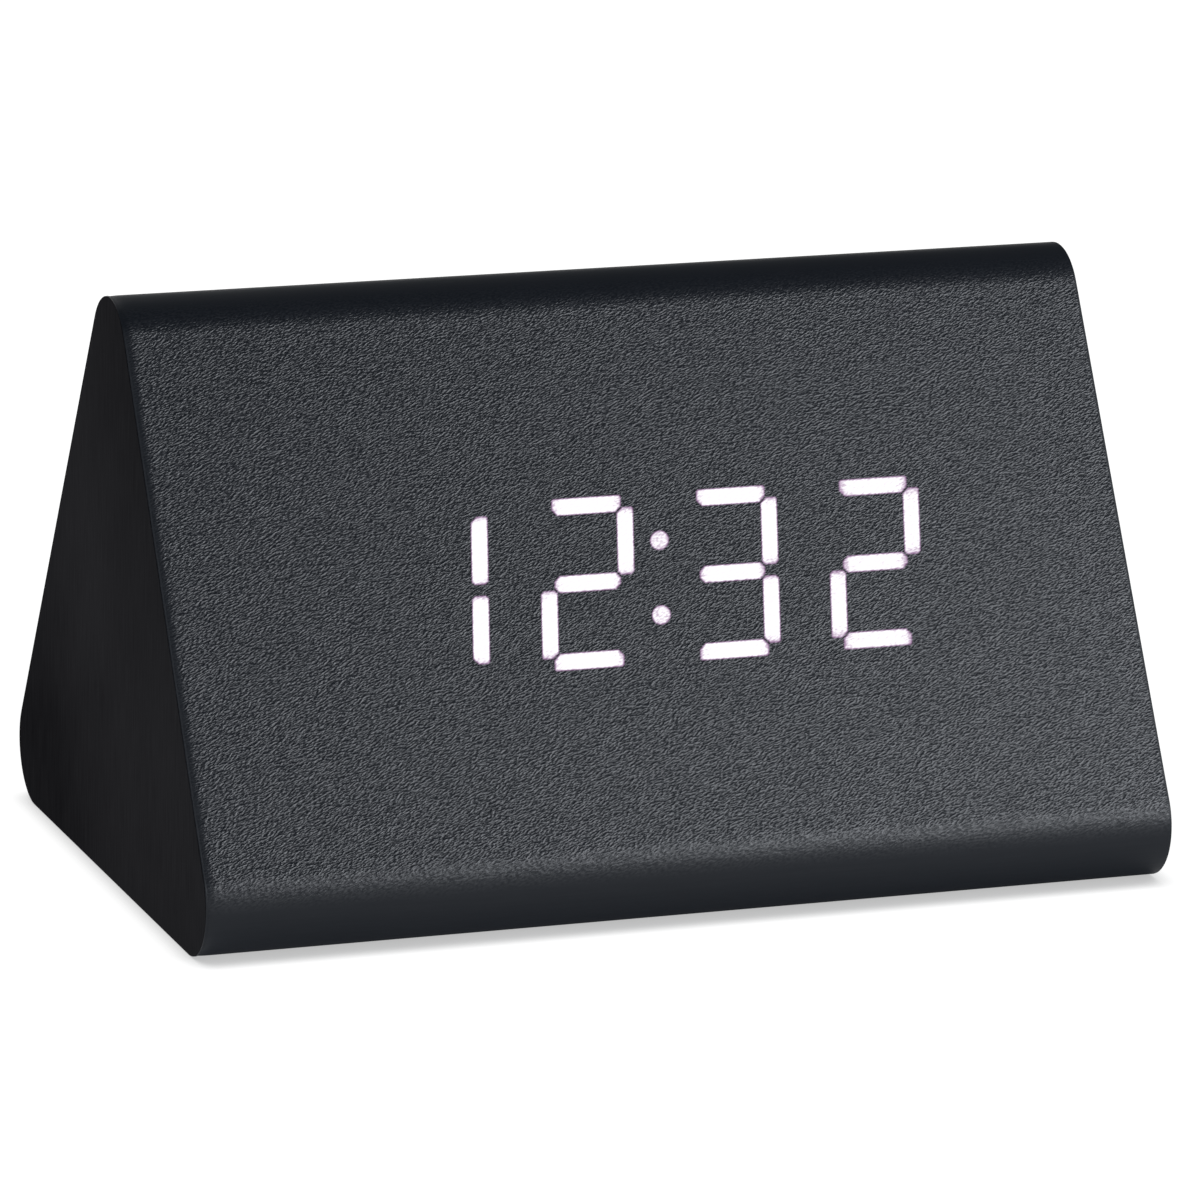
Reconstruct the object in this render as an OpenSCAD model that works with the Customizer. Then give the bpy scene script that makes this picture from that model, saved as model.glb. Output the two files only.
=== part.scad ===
// Wedge-shaped wooden alarm clock.
// A hollow MDF prism is wrapped in thin film, and a seven-segment display shines
// through the sloping front. Buttons and a power socket are on the sloping back,
// and a battery tray with a hinged door is let into the base.
// Origin: middle of the base. +X to the right of the front, -Y to the front, +Z up.

/* [Case] */
// Width of the case, end to end
body_w = 120; // [104:1:160]
// Depth over the rounded long edges
body_d = 80; // [78:1:110]
// Height over the rounded top edge
body_h = 70.5; // [70:0.5:100]
// Radius of the three rounded long edges
corner_r = 7; // [6:0.5:9]
// Thickness of the film that covers the case
film_t = 0.3; // [0.2:0.05:0.4]
// Thickness of the front and back walls
wall_t = 5; // [4:0.25:6]
// Thickness of the base
base_t = 8; // [7:0.25:10]
// Thickness of each end panel
end_t = 6; // [4:0.25:8]
// Gap between pieces that are fitted together
fit_gap = 0.15; // [0.1:0.05:0.3]

/* [Display] */
// Hour that is shown
hours = 12; // [1:1:12]
// Minute that is shown
minutes = 32; // [0:1:59]
// Sideways place of the display from the middle of the front
display_x = 0.8; // [-4:0.1:4]
// Place of the display up the slope from the middle of the front
display_y = -0.8; // [-2:0.1:4]
// Distance between neighbouring digits
digit_pitch = 18.1; // [17:0.1:20]
// Height of a digit, between the middles of its top and bottom bars
digit_h = 18.8; // [17:0.1:20]
// Width of a digit, between the middles of its upright bars
digit_w = 9.6; // [9:0.1:11]
// Width of a bar
bar_w = 2; // [1.6:0.1:2.4]
// Length of the top and bottom bars
outer_bar_l = 8.6; // [8:0.1:9]
// Length of the middle bar
middle_bar_l = 8.2; // [7.6:0.1:8.4]
// Length of an upright bar
upright_l = 8.2; // [7.6:0.1:8.4]
// Height of an upright bar's middle above or below the digit's middle
upright_y = 4.8; // [4.7:0.1:5]
// Lean of the digits in degrees
lean_deg = 8; // [0:1:12]
// Diameter of the colon's dots
dot_d = 2.3; // [1.6:0.1:3]
// Height of each dot above or below the digits' middle
dot_y = 4.55; // [4:0.05:6]
// Width of the light box
box_w = 74; // [72:0.5:78]
// Height of the light box
box_h = 25; // [23:0.5:26]
// Depth of the light box
box_d = 9.5; // [9:0.5:11]
// Thickness of the diffuser in each bar of the light box
diffuser_t = 3; // [1:0.5:5]

/* [Boards] */
// Thickness of the circuit boards
board_t = 1.6; // [1:0.1:2]
// Width of the display board
board_w = 84; // [82:0.5:90]
// Height of the display board
board_h = 37; // [36:0.5:38]
// Width of the rear board
rear_w = 78; // [76:0.5:86]
// Height of the rear board
rear_h = 18; // [16:0.5:19]
// Place of the rear board up the slope from the middle of the back
rear_y = -9; // [-9:0.5:4]
// Distance of a board's screws from its edges
screw_edge = 3; // [2.8:0.1:4]
// Outer diameter of a board spacer
spacer_d = 5; // [4:0.5:5.5]
// Diameter of a screw's shank
shank_d = 2; // [1.6:0.1:2.4]
// Diameter of a screw's head
head_d = 3.8; // [3.4:0.1:4.2]
// Thickness of a screw's head
head_t = 1.2; // [0.8:0.1:1.4]
// Depth of a screw's bite into the MDF walls
bite_l = 3.4; // [2:0.1:3.6]

/* [Buttons] */
// Diameter of a button
button_d = 6; // [5:0.5:7]
// Distance that a button stands out of the back
button_out = 1; // [0.7:0.1:2]
// Travel of a button
button_travel = 0.5; // [0.25:0.05:0.6]
// Distance between neighbouring buttons
button_pitch = 13; // [11:0.5:14]
// Sideways place of the middle button, seen from behind
button_x = 3; // [0:0.5:5]
// Diameter of the flange that keeps a button in the wall
button_flange_d = 8; // [7.5:0.5:9]
// Side of a switch's square housing
switch_w = 6; // [5:0.5:6.5]
// Height of a switch's housing
switch_h = 3.5; // [3:0.1:3.6]
// Diameter of a switch's plunger
plunger_d = 3.4; // [2.5:0.1:3.6]

/* [Power socket] */
// Width of the opening for the power plug
inlet_w = 12.5; // [12:0.5:15]
// Height of the opening for the power plug
inlet_h = 9; // [8.5:0.5:11]
// Sideways place of the socket, seen from behind
inlet_x = -28; // [-29:0.5:-24]
// Width of the socket's shell
socket_w = 7.5; // [7:0.1:8]
// Thickness through the socket's shell
socket_h = 2.7; // [2.5:0.1:4]
// Length of the socket off its board
socket_l = 5; // [4.6:0.1:5.6]

/* [Batteries] */
// Diameter of a battery (over 12.6, the case has to be made deeper and taller too)
cell_d = 10.5; // [8:0.1:14.5]
// Length of a battery with its button end
cell_l = 44.5; // [40:0.5:50.5]
// Gap between neighbouring batteries (over 2.8, the case has to be made deeper too)
cell_space = 0.7; // [0.3:0.1:4.5]
// Length of a contact spring with a battery in place
spring_l = 4.3; // [4:0.1:6]
// Diameter of a spring's wire
wire_d = 0.55; // [0.4:0.05:0.6]
// Turns in a spring
spring_turns = 4; // [3:1:5]
// Thickness of the contact plates
plate_t = 0.4; // [0.3:0.05:0.6]
// Wall of the battery tray
tray_wall = 1.4; // [1.2:0.1:2]
// Thickness of the battery door
door_t = 1.8; // [1.6:0.1:2.4]
// Gap round the battery door
door_gap = 0.2; // [0.15:0.05:0.3]
// Depth of the door's face above the surface that the clock stands on
door_recess = 0.5; // [0.4:0.1:1]
// Diameter of a battery lead
lead_d = 1.4; // [1:0.1:1.8]

/* [Hidden] */
$fn = 96;

// Colours of the materials
film_colour = "#2b2e31";
mdf_colour = "#9c8462";
lit_colour = "#fbf4ff";
white_plastic = "#e9e8e4";
black_plastic = "#1b1c1e";
board_colour = "#1f6b43";
nickel = "#b9b8b2";
steel = "#8f9296";
gold = "#c9a24a";
nylon = "#dcd8c8";
sleeve_colour = "#3d5f78";

// A cut runs past the faces that it opens by this much
over = 1;

// Case section, seen from the end
face_run = body_d / 2 - corner_r;
face_rise = body_h - 2 * corner_r;
face_tilt = atan2(face_rise, face_run);
face_out = [sin(face_tilt), cos(face_tilt)];
corner_centres = [[-face_run, corner_r], [face_run, corner_r], [0, body_h - corner_r]];
// The flats lie this far inside the rounds, so that they cross cleanly at every size
seam = 0.002;
flat_r = corner_r - seam;
slope_reach = face_run * face_out.x + corner_r * face_out.y + flat_r;
skin_t = film_t + wall_t;
shell_l = body_w - 2 * film_t;

// Seven-segment digits: the bars that each numeral lights
NUMERALS = ["abcdef", "bc", "abdeg", "abcdg", "bcfg", "acdfg", "acdefg", "abc", "abcdefg", "abcdfg"];
BARS = "abcdefg";
digit_count = 4;
tens_of_hours = floor(hours / 10);
shown = [
    tens_of_hours > 0 ? NUMERALS[tens_of_hours] : "",
    NUMERALS[hours % 10], NUMERALS[floor(minutes / 10)], NUMERALS[minutes % 10]
];
inner_cut = 0.7;
middle_cut = 0.6;
outer_cut = 0.2;
inlay_gap = 0.02;

// Boards: both stand the same distance behind the outer faces
board_depth = film_t + box_d;
board_back = board_depth + board_t;
spacer_l = board_depth - skin_t;
hole_gap = 0.3;
pilot_gap = 0.05;
pilot_end = 0.2;
peg_r = 1;
peg_l = 1.2;
peg_x = box_w / 2 - 3;
rear_screw_at = [rear_w / 2 - screw_edge, rear_h / 2 - screw_edge];

// Small parts on the boards, measured from the middle of the display board
led_size = [1.6, 0.8, 0.6];
chip_at = [-4, -9];
chip_size = [17.9, 7.5, 2.3];
chip_legs = 14;
leg_pitch = 1.27;
leg_size = [0.4, 1.4, 0.25];
crystal_at = [12, -13];
crystal_r = 1;
crystal_l = 6;
buzzer_at = [-2, 9];
buzzer_r = 6;
buzzer_h = 8.5;
microphone_at = [-36, 4];
microphone_r = 3;
microphone_h = 4.5;
coin_at = [23, 2];
coin_r = 10;
coin_h = 3.2;
holder_size = [24, 22, 1.4];
holder_wall = 1.2;
transistor_size = [2.9, 1.3, 1];
transistor_y = 15;
resistor_size = [2, 1.25, 0.5];
resistor_y = -15.5;
small_pitch = 5;

// Ribbon cable between the boards, and its connectors
ribbon_x = -24;
ribbon_y = -4;
ribbon_ways = 8;
ribbon_w = ribbon_ways * leg_pitch;
ribbon_t = 0.9;
ribbon_bend_r = 5;
leg_lap = 0.05;
connector_size = [13, 5, 6];
connector_slot = 4;
slot_gap = 0.1;

// Buttons and their switches, as depths behind the back's outer face
flange_t = 0.8;
flange_gap = 0.1;
flange_lead = 0.3;
button_gap = 0.15;
plunger_out = 1.3;
plunger_in = 1;
plunger_gap = 0.1;
switch_top = board_depth - switch_h;
plunger_tip = switch_top - plunger_out;
pocket_top = plunger_tip - flange_lead - flange_t - flange_gap;
flange_pocket = skin_t - pocket_top;
button_names = ["set", "up", "down"];
button_edge = 0.5;

// Power socket and temperature sensor
inlet_r = 2;
socket_wall = 0.3;
socket_cut = 0.8;
tongue_size = [3.9, 0.7, 4.2];
tongue_base = 0.8;
contact_count = 5;
contact_pitch = 0.65;
contact_size = [0.35, 0.15, 3.2];
sensor_x = 28;
sensor_hole_r = 1.5;
sensor_r = 1.2;
sensor_l = 3;
sensor_depth = 1.5;
sensor_wire_r = 0.25;
sensor_wire_x = 0.6;

// Battery tray, as heights above the surface that the clock stands on
cells = 4;
cell_pitch = cell_d + cell_space;
flange_recess = 0.2;
door_play = 0.2;
ledge_z = door_recess + door_t + door_play;
cell_gap = 0.2;
cell_z = ledge_z + cell_d / 2 + cell_gap / 2;
channel_r = cell_d / 2 + cell_gap;
tub_top = cell_z + channel_r + tray_wall;
dimple_t = 0.4;
dimple_r = 1.8;
bay_l = cell_l + 2 * plate_t + dimple_t + spring_l;
bay_w = cells * cell_pitch;
tub_l = bay_l + 2 * tray_wall;
tub_w = bay_w + 2 * tray_wall;
tub_r = 2;
flange_margin = 6;
flange_l = tub_l + 2 * flange_margin;
base_edge = 0.5;
flange_w = min(tub_w + 2 * flange_margin, 2 * (face_run - base_edge));
flange_top = ledge_z + 1.1;
tray_screw_at = [flange_l / 2 - flange_margin / 2, flange_w / 2 - flange_margin / 2];
tray_head_seat = flange_recess + head_t + 0.2;
tray_screw_end = base_t - 0.5;
plate_between = 2.2;
plate_w = cell_pitch - plate_between;
plate_low = ledge_z + 0.6;
plate_top = cell_z + 2.9;
plate_play = 0.1;
tab_w = 2.4;
tab_top = tub_top + 2;
// Farthest that a solder tab stands from the tray's middle, clear of the boards above it
tab_reach = 16.8;
spring_end_gap = 0.05;
spring_r_wide = 3.6;
spring_r_narrow = 2.2;
rings_per_turn = 8;
wire_sides = 6;
cell_chamfer = 0.5;
nub_r = 1.9;
nub_l = 1;

// The display board's lower edge stays clear of the tray's top
tray_clear = 0.5;
board_back_z = body_h / 2 + (flat_r - board_back) * face_out.y;
tray_meets = (tub_top + tray_clear - board_back_z) / face_out.x - display_y;
board_low = max(-board_h / 2, tray_meets);
board_mid = (board_h / 2 + board_low) / 2;
board_rise = board_h / 2 - board_low;
display_screw_at = [board_w / 2 - screw_edge, board_rise / 2 - screw_edge];

// Door hinge and latch
hinge_r = 1;
hinge_l = 8;
hinge_x = 14;
hinge_y = tub_w / 2 + 0.8;
hinge_z = door_recess + hinge_r;
hinge_gap = 0.15;
neck_low = 0.4;
neck_high = 0.6;
lip_y = 0.75;
swing_gap = 0.15;
// The door's rear edge swings clear of the flange's lower edge
hinge_side_gap = norm([hinge_y - tub_w / 2, hinge_z - flange_recess]) + swing_gap - (hinge_y - tub_w / 2);
latch_w = 9;
latch_t = 1;
latch_top = ledge_z + 1.9;
latch_gap = 0.15;
barb_out = 0.55;
barb_h = 0.8;
sill_clear = 0.1;
latch_groove = 0.85;
slit_w = 0.8;
slit_l = 8;
thumb_w = 10;
thumb_out = 1.4;
scoop_w = 14;
scoop_out = 3.2;
scoop_top = 1.9;
grip_ribs = 4;
grip_pitch = 1.4;

// Battery leads: pads on the display board, and how straight each lead leaves its ends
pad_y = -14;
positive_pad_x = -31;
negative_pad_x = -36;
lead_rings = 24;
lead_sides = 8;
positive_pull = [9, 11];
negative_pull = [5, 13];

echo(least_spring_gap = spring_gap());

// Places the children on the sloping front: x across, y up the slope, z straight out of it
module on_front(x = 0, y = 0, depth = 0)
    translate([0, -face_run / 2, body_h / 2])
        rotate([face_tilt, 0, 0])
            translate([x, y, flat_r - depth])
                children();

// The same on the sloping back, seen from behind
module on_back(x = 0, y = 0, depth = 0)
    rotate([0, 0, 180]) on_front(x, y, depth) children();

// The point of the case's frame that on_front() makes its origin
function front_point(x, y, depth) = [
    x,
    -face_run / 2 + y * cos(face_tilt) - (flat_r - depth) * sin(face_tilt),
    body_h / 2 + y * sin(face_tilt) + (flat_r - depth) * cos(face_tilt)
];

module at_display(depth) on_front(display_x, display_y, depth) children();

module at_board(depth) on_front(display_x, display_y + board_mid, depth) children();

module at_button(i) on_back(button_x + (i - 1) * button_pitch, rear_y) children();

// An end view, drawn out along X about the middle
module along_x(length)
    rotate([90, 0, 90])
        translate([0, 0, -length / 2])
            linear_extrude(length)
                children();

// A board's four corner holes or screws
module at_corners(at)
    for (sx = [-1, 1], sy = [-1, 1])
        translate([sx * at.x, sy * at.y, 0]) children();

module rounded_rect(l, w, r) {
    square([l - 2 * r, w], center = true);
    square([l, w - 2 * r], center = true);
    for (sx = [-1, 1], sy = [-1, 1])
        translate([sx * (l / 2 - r), sy * (w / 2 - r)]) circle(r);
}

// The case's rounded triangle, drawn in by inset
module wedge_outline(inset) {
    r = corner_r - inset;
    flat = r - seam;
    right = flat * face_out;
    left = [-right.x, right.y];
    polygon([
        corner_centres[0] - [0, flat], corner_centres[1] - [0, flat],
        corner_centres[1] + right, corner_centres[2] + right,
        corner_centres[2] + left, corner_centres[0] + left
    ]);
    for (c = corner_centres) translate(c) circle(r);
}

// The flat of the base, which the film leaves bare
module base_flat()
    translate([-face_run, 0]) square([2 * face_run, corner_r]);

// The hollow between the mitred front, back and base, drawn in by gap
module cavity_outline(gap) {
    reach = slope_reach - skin_t - gap;
    low = base_t + gap;
    half = (reach - low * face_out.y) / face_out.x;
    polygon([[-half, low], [half, low], [0, reach / face_out.y]]);
}

module inlet_outline() rounded_rect(inlet_w, inlet_h, inlet_r);

// Seven-segment bars

// Slants a point of a digit
function leaned(p) = [p.x + p.y * tan(lean_deg), p.y];

function turned(p, a) = [p.x * cos(a) - p.y * sin(a), p.x * sin(a) + p.y * cos(a)];

// A bar along X with its corners cut, from the lower left round to the upper left
function bar_outline(l, w, cuts) = [
    [-l / 2 + cuts[0], -w / 2], [l / 2 - cuts[1], -w / 2],
    [l / 2, -w / 2 + cuts[1]], [l / 2, w / 2 - cuts[2]],
    [l / 2 - cuts[2], w / 2], [-l / 2 + cuts[3], w / 2],
    [-l / 2, w / 2 - cuts[3]], [-l / 2, -w / 2 + cuts[0]]
];

// A bar's middle, turn, length and corner cuts
function bar_spec(name) =
    let (i = inner_cut, m = middle_cut, o = outer_cut, x = digit_w / 2)
    name == "a" ? [[0, digit_h / 2], 0, outer_bar_l, [i, i, o, o]] :
    name == "d" ? [[0, -digit_h / 2], 180, outer_bar_l, [i, i, o, o]] :
    name == "g" ? [[0, 0], 0, middle_bar_l, [m, m, m, m]] :
    name == "b" ? [[x, upright_y], 90, upright_l, [m, o, i, m]] :
    name == "c" ? [[x, -upright_y], 90, upright_l, [o, m, m, i]] :
    name == "e" ? [[-x, -upright_y], -90, upright_l, [m, o, i, m]] :
    [[-x, upright_y], -90, upright_l, [o, m, m, i]];

function digit_x(k) = (k - (digit_count - 1) / 2) * digit_pitch;

module bar(name, gap) {
    spec = bar_spec(name);
    outline = bar_outline(spec[2] - 2 * gap, bar_w - 2 * gap, spec[3]);
    polygon([for (p = outline) leaned(spec[0] + turned(p, spec[1]))]);
}

// The bars of all four digits, or only the lit ones, each drawn in by gap
module bars(gap, lit_only = false)
    for (k = [0 : digit_count - 1])
        translate([digit_x(k), 0])
            for (name = BARS)
                if (!lit_only || len(search(name, shown[k])) > 0)
                    bar(name, gap);

module colon_dots(gap)
    for (s = [-1, 1])
        translate(leaned([0, s * dot_y])) circle(dot_d / 2 - gap);

module display_outline(gap, lit_only = false) {
    bars(gap, lit_only);
    colon_dots(gap);
}

// Wires: tubes swept along points

function unit(v) = v / norm(v);

function along(points, i) =
    unit(points[min(i + 1, len(points) - 1)] - points[max(i - 1, 0)]);

// Carries a side direction along the path so that the tube doesn't twist
function sides_along(points, i = 0, side = [1, 0.01, 0.02]) =
    let (t = along(points, i), s = unit(side - (side * t) * t))
    i == len(points) - 1 ? [s] : concat([s], sides_along(points, i + 1, s));

module tube(points, d, sides) {
    n = len(points);
    side = sides_along(points);
    rings = [
        for (i = [0 : n - 1], k = [0 : sides - 1])
            let (u = side[i], v = cross(along(points, i), u), a = 360 * k / sides)
            points[i] + d / 2 * (cos(a) * u + sin(a) * v)
    ];
    walls = [
        for (i = [0 : n - 2], k = [0 : sides - 1])
            let (a = i * sides + k, b = i * sides + (k + 1) % sides)
            each [[a, a + sides, b], [b, a + sides, b + sides]]
    ];
    ends = [
        for (k = [1 : sides - 2], e = [0, n - 1])
            e == 0 ? [0, k, k + 1] : [e * sides, e * sides + k + 1, e * sides + k]
    ];
    polyhedron(points = rings, faces = concat(walls, ends), convexity = 6);
}

// A conical spring that stands on z = 0
function spring_points() =
    let (n = spring_turns * rings_per_turn, h = spring_l - wire_d - 2 * spring_end_gap)
    [
        for (i = [0 : n])
            let (
                f = i / n,
                r = spring_r_wide + (spring_r_narrow - spring_r_wide) * f,
                a = 360 * spring_turns * f
            )
            [r * cos(a), r * sin(a), wire_d / 2 + spring_end_gap + h * f]
    ];

// Least gap between one turn of the spring's wire and the next
function spring_gap() =
    let (p = spring_points(), n = rings_per_turn)
    min([
        for (i = [0 : len(p) - 1], j = [i + n - 2 : min(i + n + 2, len(p) - 1)])
            norm(p[i] - p[j]) - wire_d
    ]);

function bezier(p, f) =
    pow(1 - f, 3) * p[0] + 3 * f * pow(1 - f, 2) * p[1] + 3 * f * f * (1 - f) * p[2] + pow(f, 3) * p[3];

// A lead from the top of a terminal's tab to its pad on the back of the display board
function lead_points(start, pad_x, pull) =
    let (
        pad = front_point(display_x + pad_x, display_y + pad_y, board_back),
        inward = [0, face_out.x, -face_out.y],
        first = start + [0, 0, lead_d],
        last = pad + lead_d * inward,
        p = [first, first + [0, 0, pull[0]], last + pull[1] * inward, last]
    )
    concat([start], [for (i = [0 : lead_rings]) bezier(p, i / lead_rings)], [pad]);

// Case

module case_shell()
    color(mdf_colour)
        difference() {
            along_x(shell_l)
                difference() {
                    union() {
                        wedge_outline(film_t);
                        base_flat();
                    }
                    cavity_outline(0);
                }
            at_display(skin_t + over)
                linear_extrude(wall_t + 2 * over)
                    square([box_w + 2 * fit_gap, box_h + 2 * fit_gap], center = true);
            at_board(skin_t) at_corners(display_screw_at) pilot_hole();
            on_back(0, rear_y, skin_t) at_corners(rear_screw_at) pilot_hole();
            back_openings();
            for (i = [0 : 2])
                at_button(i)
                    translate([0, 0, -skin_t - over])
                        cylinder(d = button_flange_d + 2 * button_gap, h = flange_pocket + over);
            tray_opening();
        }

// A blind hole for a screw's bite, from the inner face of a wall outwards
module pilot_hole()
    translate([0, 0, -over])
        cylinder(d = shank_d + 2 * pilot_gap, h = bite_l + pilot_end + over);

// Openings through the back wall and its film
module back_openings() {
    on_back(inlet_x, rear_y, skin_t + over)
        linear_extrude(skin_t + 2 * over) inlet_outline();
    on_back(sensor_x, rear_y, skin_t + over)
        cylinder(r = sensor_hole_r, h = skin_t + 2 * over);
    for (i = [0 : 2])
        at_button(i)
            translate([0, 0, -skin_t - over])
                cylinder(d = button_d + 2 * button_gap, h = skin_t + 2 * over);
}

// The base's opening for the tray: a through hole, a rebate for the flange and four pilot holes
module tray_opening() {
    translate([0, 0, -over])
        linear_extrude(base_t + 2 * over)
            rounded_rect(tub_l + 2 * fit_gap, tub_w + 2 * fit_gap, tub_r + fit_gap);
    translate([0, 0, -over])
        linear_extrude(flange_top + over)
            rounded_rect(flange_l + 2 * fit_gap, flange_w + 2 * fit_gap, tub_r + fit_gap);
    at_corners(tray_screw_at)
        cylinder(d = shank_d + 2 * pilot_gap, h = tray_screw_end + pilot_end);
}

module end_panel(side)
    color(mdf_colour)
        translate([side * (shell_l - end_t) / 2, 0, 0])
            along_x(end_t) cavity_outline(fit_gap);

module left_end_panel() end_panel(-1);

module right_end_panel() end_panel(1);

module wrap_film()
    color(film_colour)
        difference() {
            along_x(shell_l)
                difference() {
                    wedge_outline(0);
                    wedge_outline(film_t);
                    base_flat();
                }
            back_openings();
            at_display(film_t + over)
                linear_extrude(film_t + 2 * over) display_outline(0, true);
        }

module end_film(side)
    color(film_colour)
        translate([side * (body_w - film_t) / 2, 0, 0])
            along_x(film_t) wedge_outline(0);

module left_end_film() end_film(-1);

module right_end_film() end_film(1);

// Display

// The patches of film that the lit bars shine through
module lit_segments()
    color(lit_colour)
        at_display(film_t)
            linear_extrude(film_t) display_outline(inlay_gap, true);

module segment_diffusers()
    color(white_plastic)
        at_display(film_t + diffuser_t)
            linear_extrude(diffuser_t) display_outline(inlay_gap);

// White block with a light well behind each bar and two pegs in the board
module light_box()
    color(white_plastic) {
        at_display(board_depth)
            linear_extrude(box_d)
                difference() {
                    square([box_w, box_h], center = true);
                    display_outline(0);
                }
        for (s = [-1, 1])
            at_display(board_depth + peg_l)
                translate([s * peg_x, 0, 0]) cylinder(r = peg_r, h = peg_l);
    }

module segment_leds()
    color("#f3e9b8")
        at_display(board_depth) {
            for (k = [0 : digit_count - 1], name = BARS) {
                spec = bar_spec(name);
                place = leaned(spec[0]);
                translate([digit_x(k) + place.x - led_size.x / 2, place.y - led_size.y / 2, 0])
                    cube(led_size);
            }
            for (s = [-1, 1])
                translate(leaned([0, s * dot_y]) - [led_size.x, led_size.y] / 2)
                    cube(led_size);
        }

// Boards and what they carry

module board(w, h, screw_at, pegs, peg_y = 0)
    linear_extrude(board_t)
        difference() {
            square([w, h], center = true);
            at_corners(screw_at) circle(d = shank_d + 2 * hole_gap);
            for (x = pegs) translate([x, peg_y]) circle(peg_r + pilot_gap);
        }

module spacers(screw_at)
    at_corners(screw_at)
        difference() {
            cylinder(d = spacer_d, h = spacer_l);
            translate([0, 0, -over])
                cylinder(d = shank_d + 2 * hole_gap, h = spacer_l + 2 * over);
        }

// A pan-head screw with its seat at z = 0, its shank up and a cross slot in its head
module screw(l) {
    cylinder(d = shank_d, h = l);
    difference() {
        translate([0, 0, -head_t]) cylinder(d = head_d, h = head_t);
        for (a = [0, 90])
            rotate(a)
                translate([0, 0, -head_t])
                    cube([head_d * 0.6, 0.5, head_t], center = true);
    }
}

module display_board()
    color(board_colour)
        at_board(board_back) board(board_w, board_rise, display_screw_at, [-peg_x, peg_x], -board_mid);

module display_spacers() color(nylon) at_board(board_depth) spacers(display_screw_at);

module display_screws()
    color(steel)
        at_board(board_back)
            at_corners(display_screw_at) screw(board_t + spacer_l + bite_l);

// Places a part on the back of the display board, standing inwards
module on_board(at) at_display(board_back) translate([at.x, at.y, 0]) mirror([0, 0, 1]) children();

module controller_chip()
    color(black_plastic)
        on_board(chip_at) {
            translate([-chip_size.x / 2, -chip_size.y / 2, 0.1]) cube(chip_size - [0, 0, 0.1]);
            for (s = [-1, 1], i = [0 : chip_legs - 1])
                translate([(i - (chip_legs - 1) / 2) * leg_pitch, s * (chip_size.y + leg_size.y) / 2, 0])
                    translate([-leg_size.x / 2, -leg_size.y / 2, 0]) {
                        cube(leg_size);
                        translate([0, s < 0 ? leg_size.y - 0.3 : -0.3, 0])
                            cube([leg_size.x, 0.6, chip_size.z / 2]);
                    }
        }

module digit_transistors()
    color(black_plastic)
        for (k = [0 : digit_count - 1])
            on_board([(k - (digit_count - 1) / 2) * small_pitch + coin_at.x, transistor_y])
                translate([-transistor_size.x / 2, -transistor_size.y / 2, 0])
                    cube(transistor_size);

module segment_resistors()
    color("#2c2b2a")
        for (k = [0 : len(BARS) - 1])
            on_board([(k - 1) * small_pitch, resistor_y])
                translate([-resistor_size.y / 2, -resistor_size.x / 2, 0])
                    cube([resistor_size.y, resistor_size.x, resistor_size.z]);

module watch_crystal()
    color(nickel)
        on_board(crystal_at)
            translate([-crystal_l / 2, 0, crystal_r])
                rotate([0, 90, 0]) cylinder(r = crystal_r, h = crystal_l);

module buzzer()
    color(black_plastic)
        on_board(buzzer_at)
            difference() {
                cylinder(r = buzzer_r, h = buzzer_h);
                translate([0, 0, buzzer_h - 1]) cylinder(r = 1, h = 1 + over);
            }

module microphone()
    color(nickel)
        on_board(microphone_at)
            difference() {
                cylinder(r = microphone_r, h = microphone_h);
                translate([0, 0, microphone_h - 0.4]) cylinder(r = microphone_r - 0.5, h = 1);
            }

// A shallow cup with a finger gap on one side and a spring clip over the coin cell
module coin_holder()
    color(black_plastic)
        on_board(coin_at) {
            wall_h = holder_size.z + coin_h * 0.7;
            difference() {
                translate([-holder_size.x / 2, -holder_size.y / 2, 0])
                    cube([holder_size.x, holder_size.y, wall_h]);
                translate([0, 0, holder_size.z])
                    cylinder(r = coin_r + fit_gap, h = wall_h);
                translate([0, -coin_r / 2, holder_size.z])
                    cube([holder_size.x, coin_r, wall_h]);
            }
            clip_low = holder_size.z + coin_h + fit_gap;
            translate([-holder_size.x / 2, -holder_wall * 2, clip_low])
                cube([coin_r, holder_wall * 4, 0.5]);
            translate([-holder_size.x / 2, -holder_wall * 2, 0])
                cube([holder_size.x / 2 - coin_r - fit_gap, holder_wall * 4, clip_low + 0.5]);
        }

module backup_cell()
    color(nickel)
        on_board(coin_at)
            translate([0, 0, holder_size.z])
                rotate_extrude()
                    polygon([
                        [0, 0], [coin_r - 1.2, 0], [coin_r - 1, 0.6], [coin_r - 0.3, 0.6],
                        [coin_r, 0.9], [coin_r, coin_h - 0.3], [coin_r - 0.3, coin_h], [0, coin_h]
                    ]);

// Board connectors with a slot for the end of the ribbon
module connector()
    color(white_plastic)
        mirror([0, 0, 1])
            difference() {
                translate([-connector_size.x / 2, -connector_size.y / 2, 0]) cube(connector_size);
                translate([0, 0, connector_size.z - connector_slot / 2 + over / 2])
                    cube(
                        [ribbon_w + 2 * slot_gap, ribbon_t + 2 * slot_gap, connector_slot + over],
                        center = true
                    );
            }

module display_connector() on_front(ribbon_x, ribbon_y, board_back) connector();

module rear_connector() on_back(-ribbon_x, ribbon_y, board_back) connector();

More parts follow.
